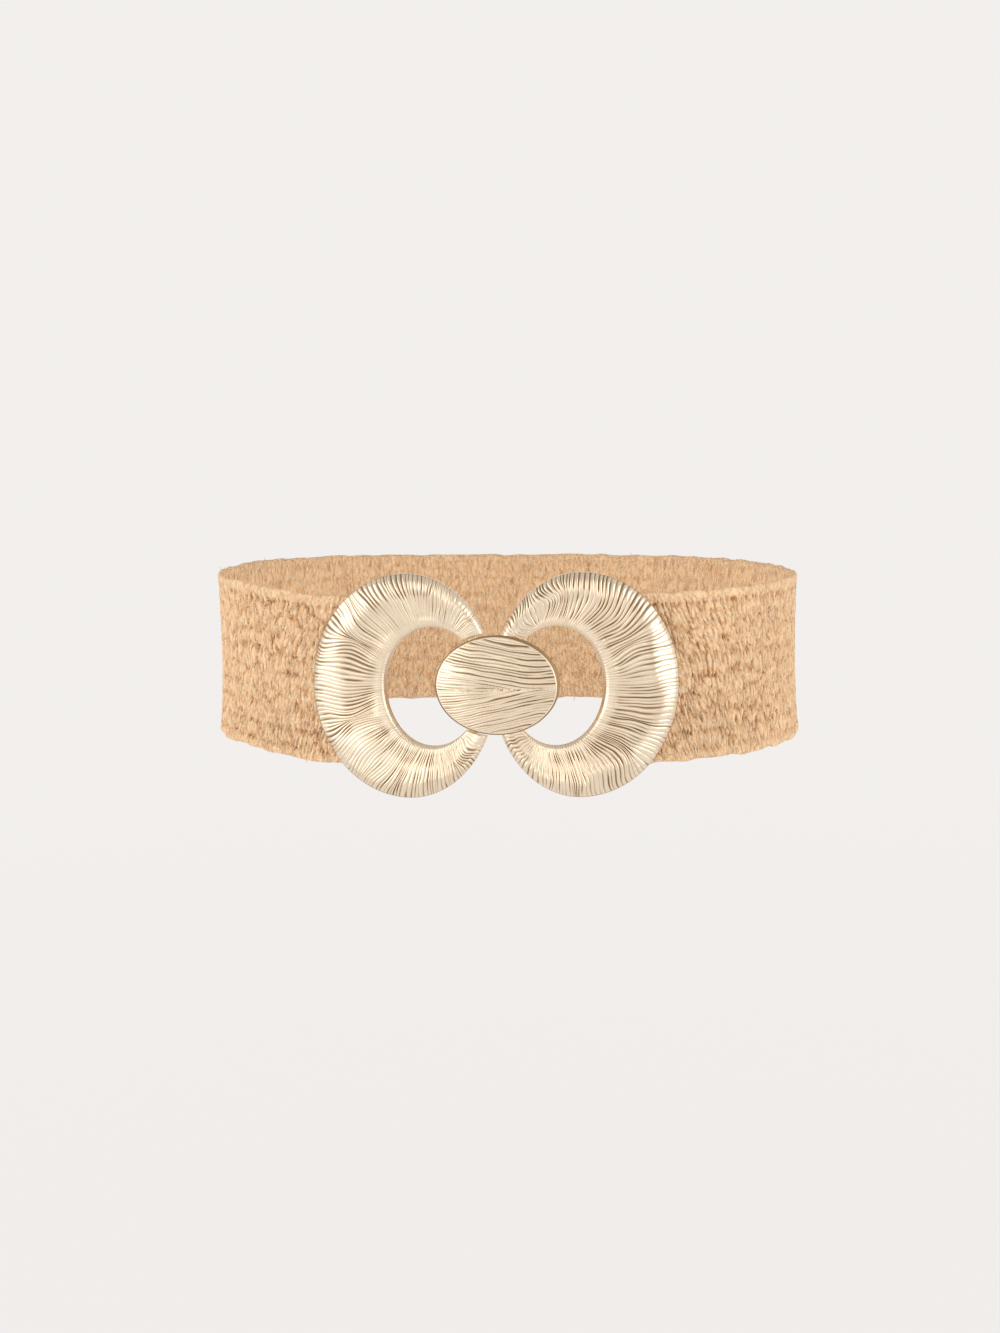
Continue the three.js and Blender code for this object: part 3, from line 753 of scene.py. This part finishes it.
# The two crescents.
# Each is one zinc alloy casting plated in pale gold: a crowned, hollow-backed crescent engraved
# with lines that run out from its hole like the gills of a shell. Two lugs behind it carry the bar
# that the band turns round, and a second bar ties its tips together behind the oval.
CRESCENT_PLACE = 32.8
CRESCENT_HALF_HEIGHT = 43.4
CRESCENT_OUTER_REACH = 38
CRESCENT_INNER_REACH = 33.5
HOLE_PLACE = 23.4
HOLE_HALF_WIDTH = 18.3
HOLE_HALF_HEIGHT = 23.2
CRESCENT_CROWN = 6
TIP_CROWN = 3.4
CRESCENT_WALL = 2
BAND_TO_CASTING = 0.6
CRESCENT_BACK = BAND_THICKNESS / 2 + BAND_TO_CASTING
LUG_HEIGHT = 1.8
LUG_REACH = 3.4  # through the hollow, into the front wall
TIE_THICKNESS = 2
BAR_EDGE = 0.35
OVAL_PLACE = 1.3
OVAL_RISE = 0.9
OVAL_HALF_WIDTH = 23.3
OVAL_HALF_HEIGHT = 19.2
LINE_POINTS = 1180  # across all the lines of a crescent
LINE_DEPTH = 0.44
LINE_SWAY = 2.1  # in lines, to either side
SWELL_COUNT = 5
SWELL_HEIGHT = 0.35
DENT_HEIGHT = 0.55
RIDGE_WANDER = 0.06  # of the width
EDGE_TONE = 0.45  # how much the two edges take the lines' darker tone
# How much painted shade and warm reflection brown the oval's rim.
OVAL_RIM_PAINTED_SHADE = 1.1
GOLD_BRIGHT = "f7e9d3"
GOLD_MIDDLE = "eed9bc"
GOLD_DEEP_AND_PAINTED_SHADE = "957752"
# The section from the hole's edge to the outer edge: shares of the width and of the crown.
CRESCENT_SECTION = [
    {"across": 0.0, "height": 0.36},
    {"across": 0.02, "height": 0.52},
    {"across": 0.05, "height": 0.64},
    {"across": 0.16, "height": 0.71},
    {"across": 0.2, "height": 0.73},
    {"across": 0.45, "height": 0.85},
    {"across": 0.62, "height": 0.965},
    {"across": 0.7, "height": 1.0},
    {"across": 0.78, "height": 0.975},
    {"across": 0.86, "height": 0.89},
    {"across": 0.93, "height": 0.73},
    {"across": 1.0, "height": 0.42},
]
# The rows of points across it: from where, to where, and how many.
CRESCENT_ROWS = [(0, 0.2, 11), (0.2, 0.86, 24), (0.86, 1, 9)]
NARROWEST_HOLLOW = 14  # where the crescent is narrower, the hollow's rows draw together
# The hollow back: widths in walls from each edge, and the depth as a share.
CRESCENT_HOLLOW = [
    {"edge": 1, "walls": 0.0, "depth": 0.0},
    {"edge": 1, "walls": 0.9, "depth": 0.0},
    {"edge": 1, "walls": 1.3, "depth": 0.9},
    {"edge": 1, "walls": 3.0, "depth": 1.0},
    {"edge": 0, "walls": 3.0, "depth": 0.7},
    {"edge": 0, "walls": 1.3, "depth": 0.6},
    {"edge": 0, "walls": 0.9, "depth": 0.0},
    {"edge": 0, "walls": 0.0, "depth": 0.0},
]
# Spots, in shares of the way round from the upper tip and of the width from the hole: "deep"
# ones, where the lines are cut deeper, and those where the face is "turned_out" by a slope.
SPOT_DEPTH = 0.75
LEFT_CRESCENT = {
    "name": "left_engraved_crescent",
    "node": "left_crescent",
    "side": -1,
    "tip_reach": 1.2,
    "tie_place": -8,
    "tie_width": 3,
    "lines": 134,
    "seed": 31,
    "turned_out": [
        {"round": (0.26, 0.4), "width": (0.58, 0.92), "slope": 0.13},
        {"round": (0.63, 0.73), "width": (0.45, 0.8), "slope": 0.13},
    ],
    "deep": [
        {"round": (0.15, 0.3), "width": (0.6, 0.98), "more": 1.7},
        {"round": (0.05, 0.16), "width": (0.3, 0.9), "more": 0.4},
        {"round": (0.33, 0.43), "width": (0.28, 0.7), "more": 1.3},
        {"round": (0.43, 0.56), "width": (0.12, 0.55), "more": 1.5},
        {"round": (0.34, 0.62), "width": (0.84, 1.0), "more": 1.0},
        {"round": (0.56, 0.6), "width": (0.55, 0.9), "more": 1.8},
        {"round": (0.62, 0.86), "width": (0.04, 0.36), "more": 1.7},
        {"round": (0.7, 0.97), "width": (0.5, 0.99), "more": 1.0},
    ],
}
RIGHT_CRESCENT = {
    "name": "right_engraved_crescent",
    "node": "right_crescent",
    "side": 1,
    "tip_reach": -2.6,
    "tie_place": 9,
    "tie_width": 7,
    "lines": 118,
    "seed": 47,
    "turned_out": [
        {"round": (0.4, 0.5), "width": (0.58, 0.9), "slope": 0.21},
        {"round": (0.62, 0.76), "width": (0.55, 0.88), "slope": 0.2},
        {"round": (0.07, 0.12), "width": (0.5, 0.8), "slope": 0.1},
    ],
    "deep": [
        {"round": (0.04, 0.36), "width": (0.74, 0.99), "more": 2.2},
        {"round": (0.08, 0.3), "width": (0.18, 0.6), "more": 0.9},
        {"round": (0.28, 0.48), "width": (0.14, 0.72), "more": 1.5},
        {"round": (0.5, 0.57), "width": (0.14, 0.8), "more": 1.4},
        {"round": (0.55, 0.68), "width": (0.14, 0.66), "more": 1.4},
        {"round": (0.66, 0.84), "width": (0.03, 0.34), "more": 1.7},
        {"round": (0.64, 0.97), "width": (0.5, 0.99), "more": 0.8},
    ],
}


def bend_round_front(points):
    """Bends flat points, each x along the waist, out from it and z up, round the belt's front."""
    x, out_by, z = points[..., 0], points[..., 1], points[..., 2]
    radius = FRONT_RADIUS + out_by
    angle = x / FRONT_RADIUS
    return np.stack([radius * np.sin(angle), FRONT_CENTRE - radius * np.cos(angle), z], -1)


def tip_angle(place, half_width, half_height, reach, oval_place, side):
    """Where an oval of the crescent meets the centre oval grown by the tips' reach."""
    low, high = 0, math.pi / 2
    for _ in range(40):
        angle = (low + high) / 2
        x = -place + half_width * math.cos(angle) - oval_place
        z = side * half_height * math.sin(angle) - OVAL_RISE
        if math.hypot(x / (OVAL_HALF_WIDTH + reach), z / (OVAL_HALF_HEIGHT + reach)) < 1:
            low = angle
        else:
            high = angle
    return side * (low + high) / 2


def window(value, low, high, edge):
    """1 between low and high, falling smoothly to 0 over the edge on either side."""
    return smoothstep(value, low - edge, low + edge) - smoothstep(value, high - edge, high + edge)


def crescent_front(make):
    """The engraved face: its points by column and row, and how deep each lies in a line."""
    reach, mirror = make["tip_reach"], make["side"]
    ovals = {
        "outer": (CRESCENT_PLACE, CRESCENT_INNER_REACH, CRESCENT_HALF_HEIGHT),
        "hole": (HOLE_PLACE, HOLE_HALF_WIDTH, HOLE_HALF_HEIGHT),
    }
    tips = {
        name: [tip_angle(*oval, reach, -mirror * OVAL_PLACE, side) for side in (1, -1)]
        for name, oval in ovals.items()
    }
    random = np.random.default_rng(make["seed"])
    line_count = make["lines"]
    widths = random.uniform(0.62, 1.38, line_count)
    line_starts = np.concatenate([[0], np.cumsum(widths)]) / np.sum(widths)
    column_lines = np.linspace(0, line_count, LINE_POINTS + 1)
    even_share = np.interp(column_lines, np.arange(line_count + 1), line_starts)
    across = np.unique(np.concatenate([np.linspace(*rows) for rows in CRESCENT_ROWS]))
    line, width = np.broadcast_arrays(column_lines[:, None], across[None, :])
    at_tips = smoothstep(np.minimum(even_share, 1 - even_share), 0, 0.035)[:, None]
    sway = LINE_SWAY * soft_noise(line / 8, width * 2.1, make["seed"] + 1)
    sway = sway + 0.3 * soft_noise(line / 2.6, width * 4, make["seed"] + 2)
    share = np.clip(even_share[:, None] + at_tips * sway / line_count, 0, 1)
    fullness = np.sin(np.pi * share) ** 0.6
    outer_angle = tips["outer"][0] + share * (2 * np.pi + tips["outer"][1] - tips["outer"][0])
    hole_angle = tips["hole"][0] + share * (2 * np.pi + tips["hole"][1] - tips["hole"][0])
    outer_reach = np.where(np.cos(outer_angle) < 0, CRESCENT_OUTER_REACH, CRESCENT_INNER_REACH)
    outer_x = -CRESCENT_PLACE + outer_reach * np.cos(outer_angle)
    outer_z = CRESCENT_HALF_HEIGHT * np.sin(outer_angle)
    hole_x = -HOLE_PLACE + HOLE_HALF_WIDTH * np.cos(hole_angle)
    hole_z = HOLE_HALF_HEIGHT * np.sin(hole_angle)
    crown = TIP_CROWN + (CRESCENT_CROWN - TIP_CROWN) * fullness
    ridge = RIDGE_WANDER * soft_noise(share * 30, 0.5, make["seed"] + 5)
    section = np.interp(
        width + ridge * window(width, 0.35, 0.88, 0.15),
        [row["across"] for row in CRESCENT_SECTION],
        [row["height"] for row in CRESCENT_SECTION],
    )
    in_field = window(width, 0.17, 0.96, 0.05)
    swell = SWELL_HEIGHT * fullness * np.sin(2 * np.pi * SWELL_COUNT * share)
    dents = DENT_HEIGHT * fullness * soft_noise(share * 20, width * 2.2, make["seed"] + 3)
    in_line = line - np.floor(line)
    number = np.round(line).astype(int) % line_count
    boldness = random.uniform(0.42, 0.88, line_count)[number]
    broken = np.clip(0.85 + 0.5 * soft_noise(number * 7.3, width * 5, make["seed"] + 4), 0.25, 1.3)
    strength = boldness * broken
    for spot in make["deep"]:
        near = window(share, *spot["round"], 0.02) * window(width, *spot["width"], 0.07)
        strength = strength + SPOT_DEPTH * spot["more"] * near * boldness * broken
    on_edges = 0.4 + 0.4 * smoothstep(width, 0.1, 0.2) + 0.2 * width
    strength = np.clip(strength, 0, 1.6)
    valley = (1 - np.abs(np.sin(np.pi * in_line))) ** (2.5 - 0.7 * strength)
    cut = valley * strength * on_edges
    cut = cut * (1 - 0.4 * smoothstep(width, 0.97, 1)) * (1 - 0.8 * (1 - at_tips))
    height = crown * section + in_field * (swell + dents) - LINE_DEPTH * cut
    reach_across = np.hypot(outer_x - hole_x, outer_z - hole_z)
    for spot in make["turned_out"]:
        near = window(share, *spot["round"], 0.025) * window(width, *spot["width"], 0.1)
        height = height - spot["slope"] * near * (width - np.mean(spot["width"])) * reach_across
    cut = cut + EDGE_TONE * (1 - window(width, 0.008, 0.985, 0.012))
    points = np.stack(
        [
            -mirror * (hole_x + (outer_x - hole_x) * width),
            CRESCENT_BACK + height,
            hole_z + (outer_z - hole_z) * width,
        ],
        -1,
    )
    return points, cut, crown[:, 0], reach_across[:, 0]


def round_bar(x_middle, width, out_from, out_to, z_middle, height):
    """Points and faces of an upright bar with softened edges, in the flat buckle."""
    half = np.array([width, out_to - out_from]) / 2
    signs = np.repeat([[1, 1], [-1, 1], [-1, -1], [1, -1]], 4, axis=0)
    turns = np.radians([quarter * 90 + turn for quarter in range(4) for turn in (0, 30, 60, 90)])
    ring = BAR_EDGE * np.stack([np.cos(turns), np.sin(turns)], 1) + signs * (half - BAR_EDGE)
    end = height / 2
    levels = []
    for up, inset in ((-end, BAR_EDGE), (BAR_EDGE - end, 0), (end - BAR_EDGE, 0), (end, BAR_EDGE)):
        flat = ring * (half - inset) / half + [x_middle, (out_from + out_to) / 2]
        levels.append(np.column_stack([flat, np.full(len(flat), z_middle + up)]))
    return np.concatenate(levels), tube_faces(np.arange(4 * len(ring)).reshape(4, -1))


def build_crescent(make):
    """One crescent with its lugs and bars, as closed shapes in one mesh."""
    front, cut, crown, span = crescent_front(make)
    hole_edge, outer_edge = front[:, :1], front[:, -1:]
    back = []
    for row in CRESCENT_HOLLOW:
        inset = row["walls"] * CRESCENT_WALL / np.maximum(span, NARROWEST_HOLLOW)
        inward = np.abs(row["edge"] - inset)[:, None, None]
        depth = row["depth"] * (crown - SWELL_HEIGHT - DENT_HEIGHT - CRESCENT_WALL)
        at = hole_edge + (outer_edge - hole_edge) * inward
        at[..., 1] = CRESCENT_BACK + depth[:, None]
        back.append(at)
    sections = np.concatenate([front, *back], axis=1)
    count = sections.shape[1]
    shapes = [sections.reshape(-1, 3)]
    numbers = np.arange(sections.shape[0] * count).reshape(-1, count)
    faces = tube_faces(numbers)
    mirror = make["side"]
    lug_middle = BAND_HEIGHT / 2 + BAR_CLEARANCE + LUG_HEIGHT / 2
    bar_out = -(BAND_THICKNESS / 2 + BAR_CLEARANCE)
    bar_in = bar_out - BELT_BAR_THICKNESS
    bar_height = 2 * lug_middle + LUG_HEIGHT
    bar_x = mirror * BELT_BAR_PLACE
    tie_height = 2 * (OVAL_HALF_HEIGHT + make["tip_reach"] + CRESCENT_WALL / 2)
    tie = (make["tie_place"], make["tie_width"], CRESCENT_BACK, CRESCENT_BACK + TIE_THICKNESS)
    bars = [
        (bar_x, BELT_BAR_WIDTH, bar_in, bar_out, BAND_RISE, bar_height),
        (*tie, OVAL_RISE, tie_height),
    ]
    for z in (BAND_RISE - lug_middle, BAND_RISE + lug_middle):
        bars.append((bar_x, BELT_BAR_WIDTH, bar_in, CRESCENT_BACK + LUG_REACH, z, LUG_HEIGHT))
    for bar in bars:
        start = sum(len(shape) for shape in shapes)
        bar_points, bar_faces = round_bar(*bar)
        shapes.append(bar_points)
        faces += [[number + start for number in face] for face in bar_faces]
    points = bend_round_front(np.concatenate(shapes))
    cut_all = np.zeros(len(points))
    cut_all[: len(shapes[0])] = np.concatenate(
        [cut, np.zeros((len(cut), len(CRESCENT_HOLLOW)))], axis=1
    ).ravel()
    crescent = add_piece(make["name"], points, faces, gold, {"cut_depth_and_painted_shade": cut_all})
    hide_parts(make["node"])


# Pale gold plate with a soft polish gives wide bright reflections. The engraved lines and the
# edges stay browner and duller, and the oval's browner rim is painted shade and warm reflection.
# The casting's grain is drawn coarser than a real one, as bumps about 1 mm wide, because a finer
# one is lost in the picture.
gold, gold_tree = new_material("pale_gold_plated_casting")
cut_depth_and_painted_shade = add_node(gold_tree, "Attribute", attribute_name="cut_depth_and_painted_shade")
gold_place = add_node(gold_tree, "TexCoord")
plating_tone = add_node(
    gold_tree,
    "TexNoise",
    {"Vector": gold_place.outputs["Object"], "Scale": 130, "Detail": 3, "Roughness": 0.6},
)
plating = add_node(
    gold_tree,
    "Mix",
    {0: plating_tone, 6: linear(GOLD_BRIGHT), 7: linear(GOLD_MIDDLE)},
    data_type="RGBA",
)
lines_and_painted_rim = add_node(
    gold_tree,
    "MapRange",
    {"Value": cut_depth_and_painted_shade.outputs["Fac"], "From Min": 0.1, "From Max": 0.85, "To Max": 0.92},
)
engraved_and_painted_gold = add_node(
    gold_tree, "Mix", {0: lines_and_painted_rim, 6: plating.outputs[2], 7: linear(GOLD_DEEP_AND_PAINTED_SHADE)}, data_type="RGBA"
)
gold_roughness = add_node(
    gold_tree, "MapRange", {"Value": cut_depth_and_painted_shade.outputs["Fac"], "To Min": 0.27, "To Max": 0.45}
)
cast_grain = add_node(
    gold_tree,
    "TexNoise",
    {"Vector": gold_place.outputs["Object"], "Scale": 900, "Detail": 2, "Roughness": 0.5},
)
cast_bump = add_node(
    gold_tree, "Bump", {"Strength": 0.25, "Distance": 0.0001, "Height": cast_grain}
)
gold_shader = add_node(
    gold_tree,
    "BsdfPrincipled",
    {
        "Base Color": engraved_and_painted_gold.outputs[2],
        "Metallic": 1.0,
        "Roughness": gold_roughness,
        "Normal": cast_bump,
    },
)
add_node(gold_tree, "OutputMaterial", {"Surface": gold_shader})

for make in (LEFT_CRESCENT, RIGHT_CRESCENT):
    build_crescent(make)

# The centre oval.
# A shallow domed casting in the same pale gold, engraved with lines that run together towards the
# right. Its slanting rim is browner with painted shade and warm reflection, and wider at the upper
# right. Two rivets behind it hold it and the hook to the bridge.
OVAL_CLEARANCE = 0.3
OVAL_BACK = CRESCENT_BACK + TIP_CROWN + OVAL_CLEARANCE
OVAL_EDGE = 0.8
OVAL_DOME = 3.1
OVAL_FACE = 0.97  # the engraved face, as a share of the outline
OVAL_WIDER_RIM = 0.035  # less of it at the upper right
RIM_DROP = 0.5
# The dome's height at each radius, both as shares: a broad top, then an even slope to the rim.
OVAL_SECTION = {0: 1, 0.2: 0.985, 0.33: 0.955, 0.42: 0.91, 0.5: 0.84, 0.6: 0.71, 0.8: 0.39, 1: 0}
OVAL_COLUMNS = 280
OVAL_ROWS = 232
OVAL_LINE_SPACING = 1.18
OVAL_LINE_DEPTH = 0.36
UPPER_SLANT = 0.2  # down towards the right
LOWER_SLANT = 0.24  # up towards the right
MEETING_HEIGHT = -1.4
OVAL_DEEP = [
    {"x": (9, 22), "z": (-0.5, 12), "every": 2, "more": 2.2},
    {"x": (-7, 18), "z": (-1.6, 3), "every": 2, "more": 1.2},
    {"x": (-16, 12), "z": (3.5, 18), "every": 2, "more": 0.8},
    {"x": (4, 14), "z": (-6, -3), "every": 2, "more": 0.6},
    {"x": (-20, 22), "z": (-18, -3), "every": 1, "more": 0.3},
]
RIVET_RADIUS = 1.6
RIVET_PLACE = 9
RIVET_SPACING = 7
# A rivet, from its head, which stands out behind the bridge, to its end inside the oval.
RIVET_RINGS = [
    {"radius": 0.4, "out": CRESCENT_BACK - 0.5},
    {"radius": 0.85, "out": CRESCENT_BACK - 0.4},
    {"radius": 1.0, "out": CRESCENT_BACK - 0.15},
    {"radius": 1.0, "out": OVAL_BACK + 0.6},
    {"radius": 0.4, "out": OVAL_BACK + 0.6},
]


def line_phase(x, z):
    """Which engraved line each point lies on, carried along the lines from the left edge."""
    steps = np.linspace(-OVAL_HALF_WIDTH, OVAL_HALF_WIDTH, 400)
    levels = np.linspace(-2 * OVAL_HALF_HEIGHT, 2 * OVAL_HALF_HEIGHT, 1600)
    phase = [levels / OVAL_LINE_SPACING]
    for at in steps[1:]:
        from_meeting = levels - MEETING_HEIGHT
        softness = 7 - 6.6 * smoothstep(at, -16, 4)
        turn = np.tanh(from_meeting / softness)
        upper = -UPPER_SLANT * (1 - smoothstep(at, 6, 19))
        lower = LOWER_SLANT * (1 - 0.55 * smoothstep(at, 4, 20))
        slope = np.where(from_meeting > 0, upper * turn, -lower * turn)
        phase.append(np.interp(levels - slope * (steps[1] - steps[0]), levels, phase[-1]))
    phase = np.array(phase)
    column = np.clip((x - steps[0]) / (steps[1] - steps[0]), 0, len(steps) - 1.001)
    row = np.clip((z - levels[0]) / (levels[1] - levels[0]), 0, len(levels) - 1.001)
    i, j = column.astype(int), row.astype(int)
    u, v = column - i, row - j
    lower = phase[i, j] * (1 - u) + phase[i + 1, j] * u
    upper = phase[i, j + 1] * (1 - u) + phase[i + 1, j + 1] * u
    return lower * (1 - v) + upper * v


across, upward = np.meshgrid(
    np.linspace(-1, 1, OVAL_COLUMNS + 1), np.linspace(-1, 1, OVAL_ROWS + 1), indexing="ij"
)
unit_x = across * np.sqrt(1 - upward**2 / 2)
unit_z = upward * np.sqrt(1 - across**2 / 2)
from_middle = np.hypot(unit_x, unit_z)
towards_upper_right = (0.8 * unit_x + 0.6 * unit_z) / np.maximum(from_middle, 1e-6)
face_share = OVAL_FACE - OVAL_WIDER_RIM * smoothstep(towards_upper_right, 0.5, 0.95)
on_face = np.clip(from_middle / face_share, 0, 1)
on_rim = np.clip((from_middle - face_share) / (1 - face_share), 0, 1)
oval_x, oval_z = unit_x * OVAL_HALF_WIDTH, unit_z * OVAL_HALF_HEIGHT
lines = line_phase(oval_x, oval_z)
lines = lines + 0.36 * soft_noise(lines / 1.7, oval_x / 18, 61)
lines = lines + 0.3 * soft_noise(lines / 2.4, oval_x / 5, 62)
in_line = lines - np.floor(lines)
line_number = np.round(lines).astype(int)
line_bold = np.random.default_rng(63).uniform(0.45, 1.0, 64)[line_number % 64]
line_broken = np.clip(0.8 + 0.6 * soft_noise(line_number * 5.7, oval_x / 5, 64), 0.1, 1.3)
oval_strength = line_bold * line_broken
for spot in OVAL_DEEP:
    near = window(oval_x, *spot["x"], 2) * window(oval_z, *spot["z"], 1)
    chosen = line_number % spot["every"] == 0
    oval_strength = oval_strength + spot["more"] * near * chosen * (0.4 + line_bold)
oval_strength = np.clip(oval_strength, 0, 1.6)
oval_valley = (1 - np.abs(np.sin(np.pi * in_line))) ** (3 - 0.85 * oval_strength)
oval_cut_and_painted_rim = oval_valley * oval_strength * (1 - smoothstep(on_face, 0.97, 1))
# The oval's browner rim: painted shade and warm reflection.
oval_cut_and_painted_rim = oval_cut_and_painted_rim + OVAL_RIM_PAINTED_SHADE * smoothstep(on_rim, 0, 0.35)
oval_dent = 0.16 * soft_noise(oval_x / 9, oval_z / 9, 65) * (1 - on_face**4)
dome = np.interp(on_face, list(OVAL_SECTION), list(OVAL_SECTION.values()))
oval_out = OVAL_EDGE + RIM_DROP * (1 - on_rim) + (OVAL_DOME - RIM_DROP) * dome
oval_out = OVAL_BACK + oval_out + oval_dent - OVAL_LINE_DEPTH * oval_cut_and_painted_rim
oval_front = np.stack([OVAL_PLACE + oval_x, oval_out, OVAL_RISE + oval_z], -1)

oval_numbers = np.arange(oval_front[..., 0].size).reshape(oval_x.shape)
oval_faces = grid_faces(oval_numbers)
rim_line = np.concatenate(
    [oval_numbers[:-1, 0], oval_numbers[-1, :-1], oval_numbers[:0:-1, -1], oval_numbers[0, :0:-1]]
)
oval_shapes = [oval_front.reshape(-1, 3)]
rim_points = oval_shapes[0][rim_line]
ring_before = rim_line
point_count = len(oval_shapes[0])
# The edge and the flat back, in rings of a share of the outline and a height over the back.
for size, level in ((1.0, 0.35), (0.985, 0.0), (0.7, 0.0), (0.4, 0.0), (0.12, 0.0)):
    ring = (rim_points - [OVAL_PLACE, 0, OVAL_RISE]) * [size, 0, size] + [OVAL_PLACE, 0, OVAL_RISE]
    ring[:, 1] = OVAL_BACK + level
    ring_numbers = point_count + np.arange(len(ring))
    strip = np.stack([ring_before, ring_numbers])
    oval_faces += grid_faces(np.concatenate([strip, strip[:, :1]], 1))
    oval_shapes.append(ring)
    ring_before = ring_numbers
    point_count += len(ring)
oval_faces.append(ring_before.tolist())

for z in (-RIVET_SPACING / 2, RIVET_SPACING / 2):
    turns = np.linspace(0, 2 * math.pi, 28, endpoint=False)
    rivet_numbers = point_count + np.arange(len(RIVET_RINGS) * len(turns)).reshape(-1, len(turns))
    for ring in RIVET_RINGS:
        x = RIVET_PLACE + ring["radius"] * RIVET_RADIUS * np.cos(turns)
        up = OVAL_RISE + z + ring["radius"] * RIVET_RADIUS * np.sin(turns)
        oval_shapes.append(np.column_stack([x, np.full(len(turns), ring["out"]), up]))
    oval_faces += tube_faces(rivet_numbers)
    point_count += rivet_numbers.size

oval_points = np.concatenate(oval_shapes)
oval_lines_and_painted_rim_all = np.zeros(len(oval_points))
oval_lines_and_painted_rim_all[: oval_cut_and_painted_rim.size] = oval_cut_and_painted_rim.ravel()
oval = add_piece(
    "engraved_oval", bend_round_front(oval_points), oval_faces, gold, {"cut_depth_and_painted_shade": oval_lines_and_painted_rim_all}
)
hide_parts("oval_disc")

# The hook.
# A plain strip of gold-plated steel, riveted between the oval and the bridge, that turns back
# under the left crescent's bar. It keeps the shape it was bent to, so only its finish is new.
STEEL_GOLD = "e6cfa4"

# Smooth plate on rolled steel: clear reflections, broken by faint streaks along the strip.
hook_gold, hook_tree = new_material("smooth_gold_plated_steel")
hook_place = add_node(hook_tree, "TexCoord")
rolled_at = add_node(
    hook_tree,
    "VectorMath",
    {0: hook_place.outputs["Object"], 1: (120, 400, 2600)},
    operation="MULTIPLY",
)
rolling = add_node(hook_tree, "TexNoise", {"Vector": rolled_at, "Scale": 1, "Detail": 2})
hook_roughness = add_node(hook_tree, "MapRange", {"Value": rolling, "To Min": 0.2, "To Max": 0.38})
hook_bump = add_node(hook_tree, "Bump", {"Strength": 0.15, "Distance": 0.00005, "Height": rolling})
hook_shader = add_node(
    hook_tree,
    "BsdfPrincipled",
    {
        "Base Color": linear(STEEL_GOLD),
        "Metallic": 1.0,
        "Roughness": hook_roughness,
        "Normal": hook_bump,
    },
)
add_node(hook_tree, "OutputMaterial", {"Surface": hook_shader})
hook_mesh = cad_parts["clasp_hook"].data
hook_mesh.materials.clear()
hook_mesh.materials.append(hook_gold)
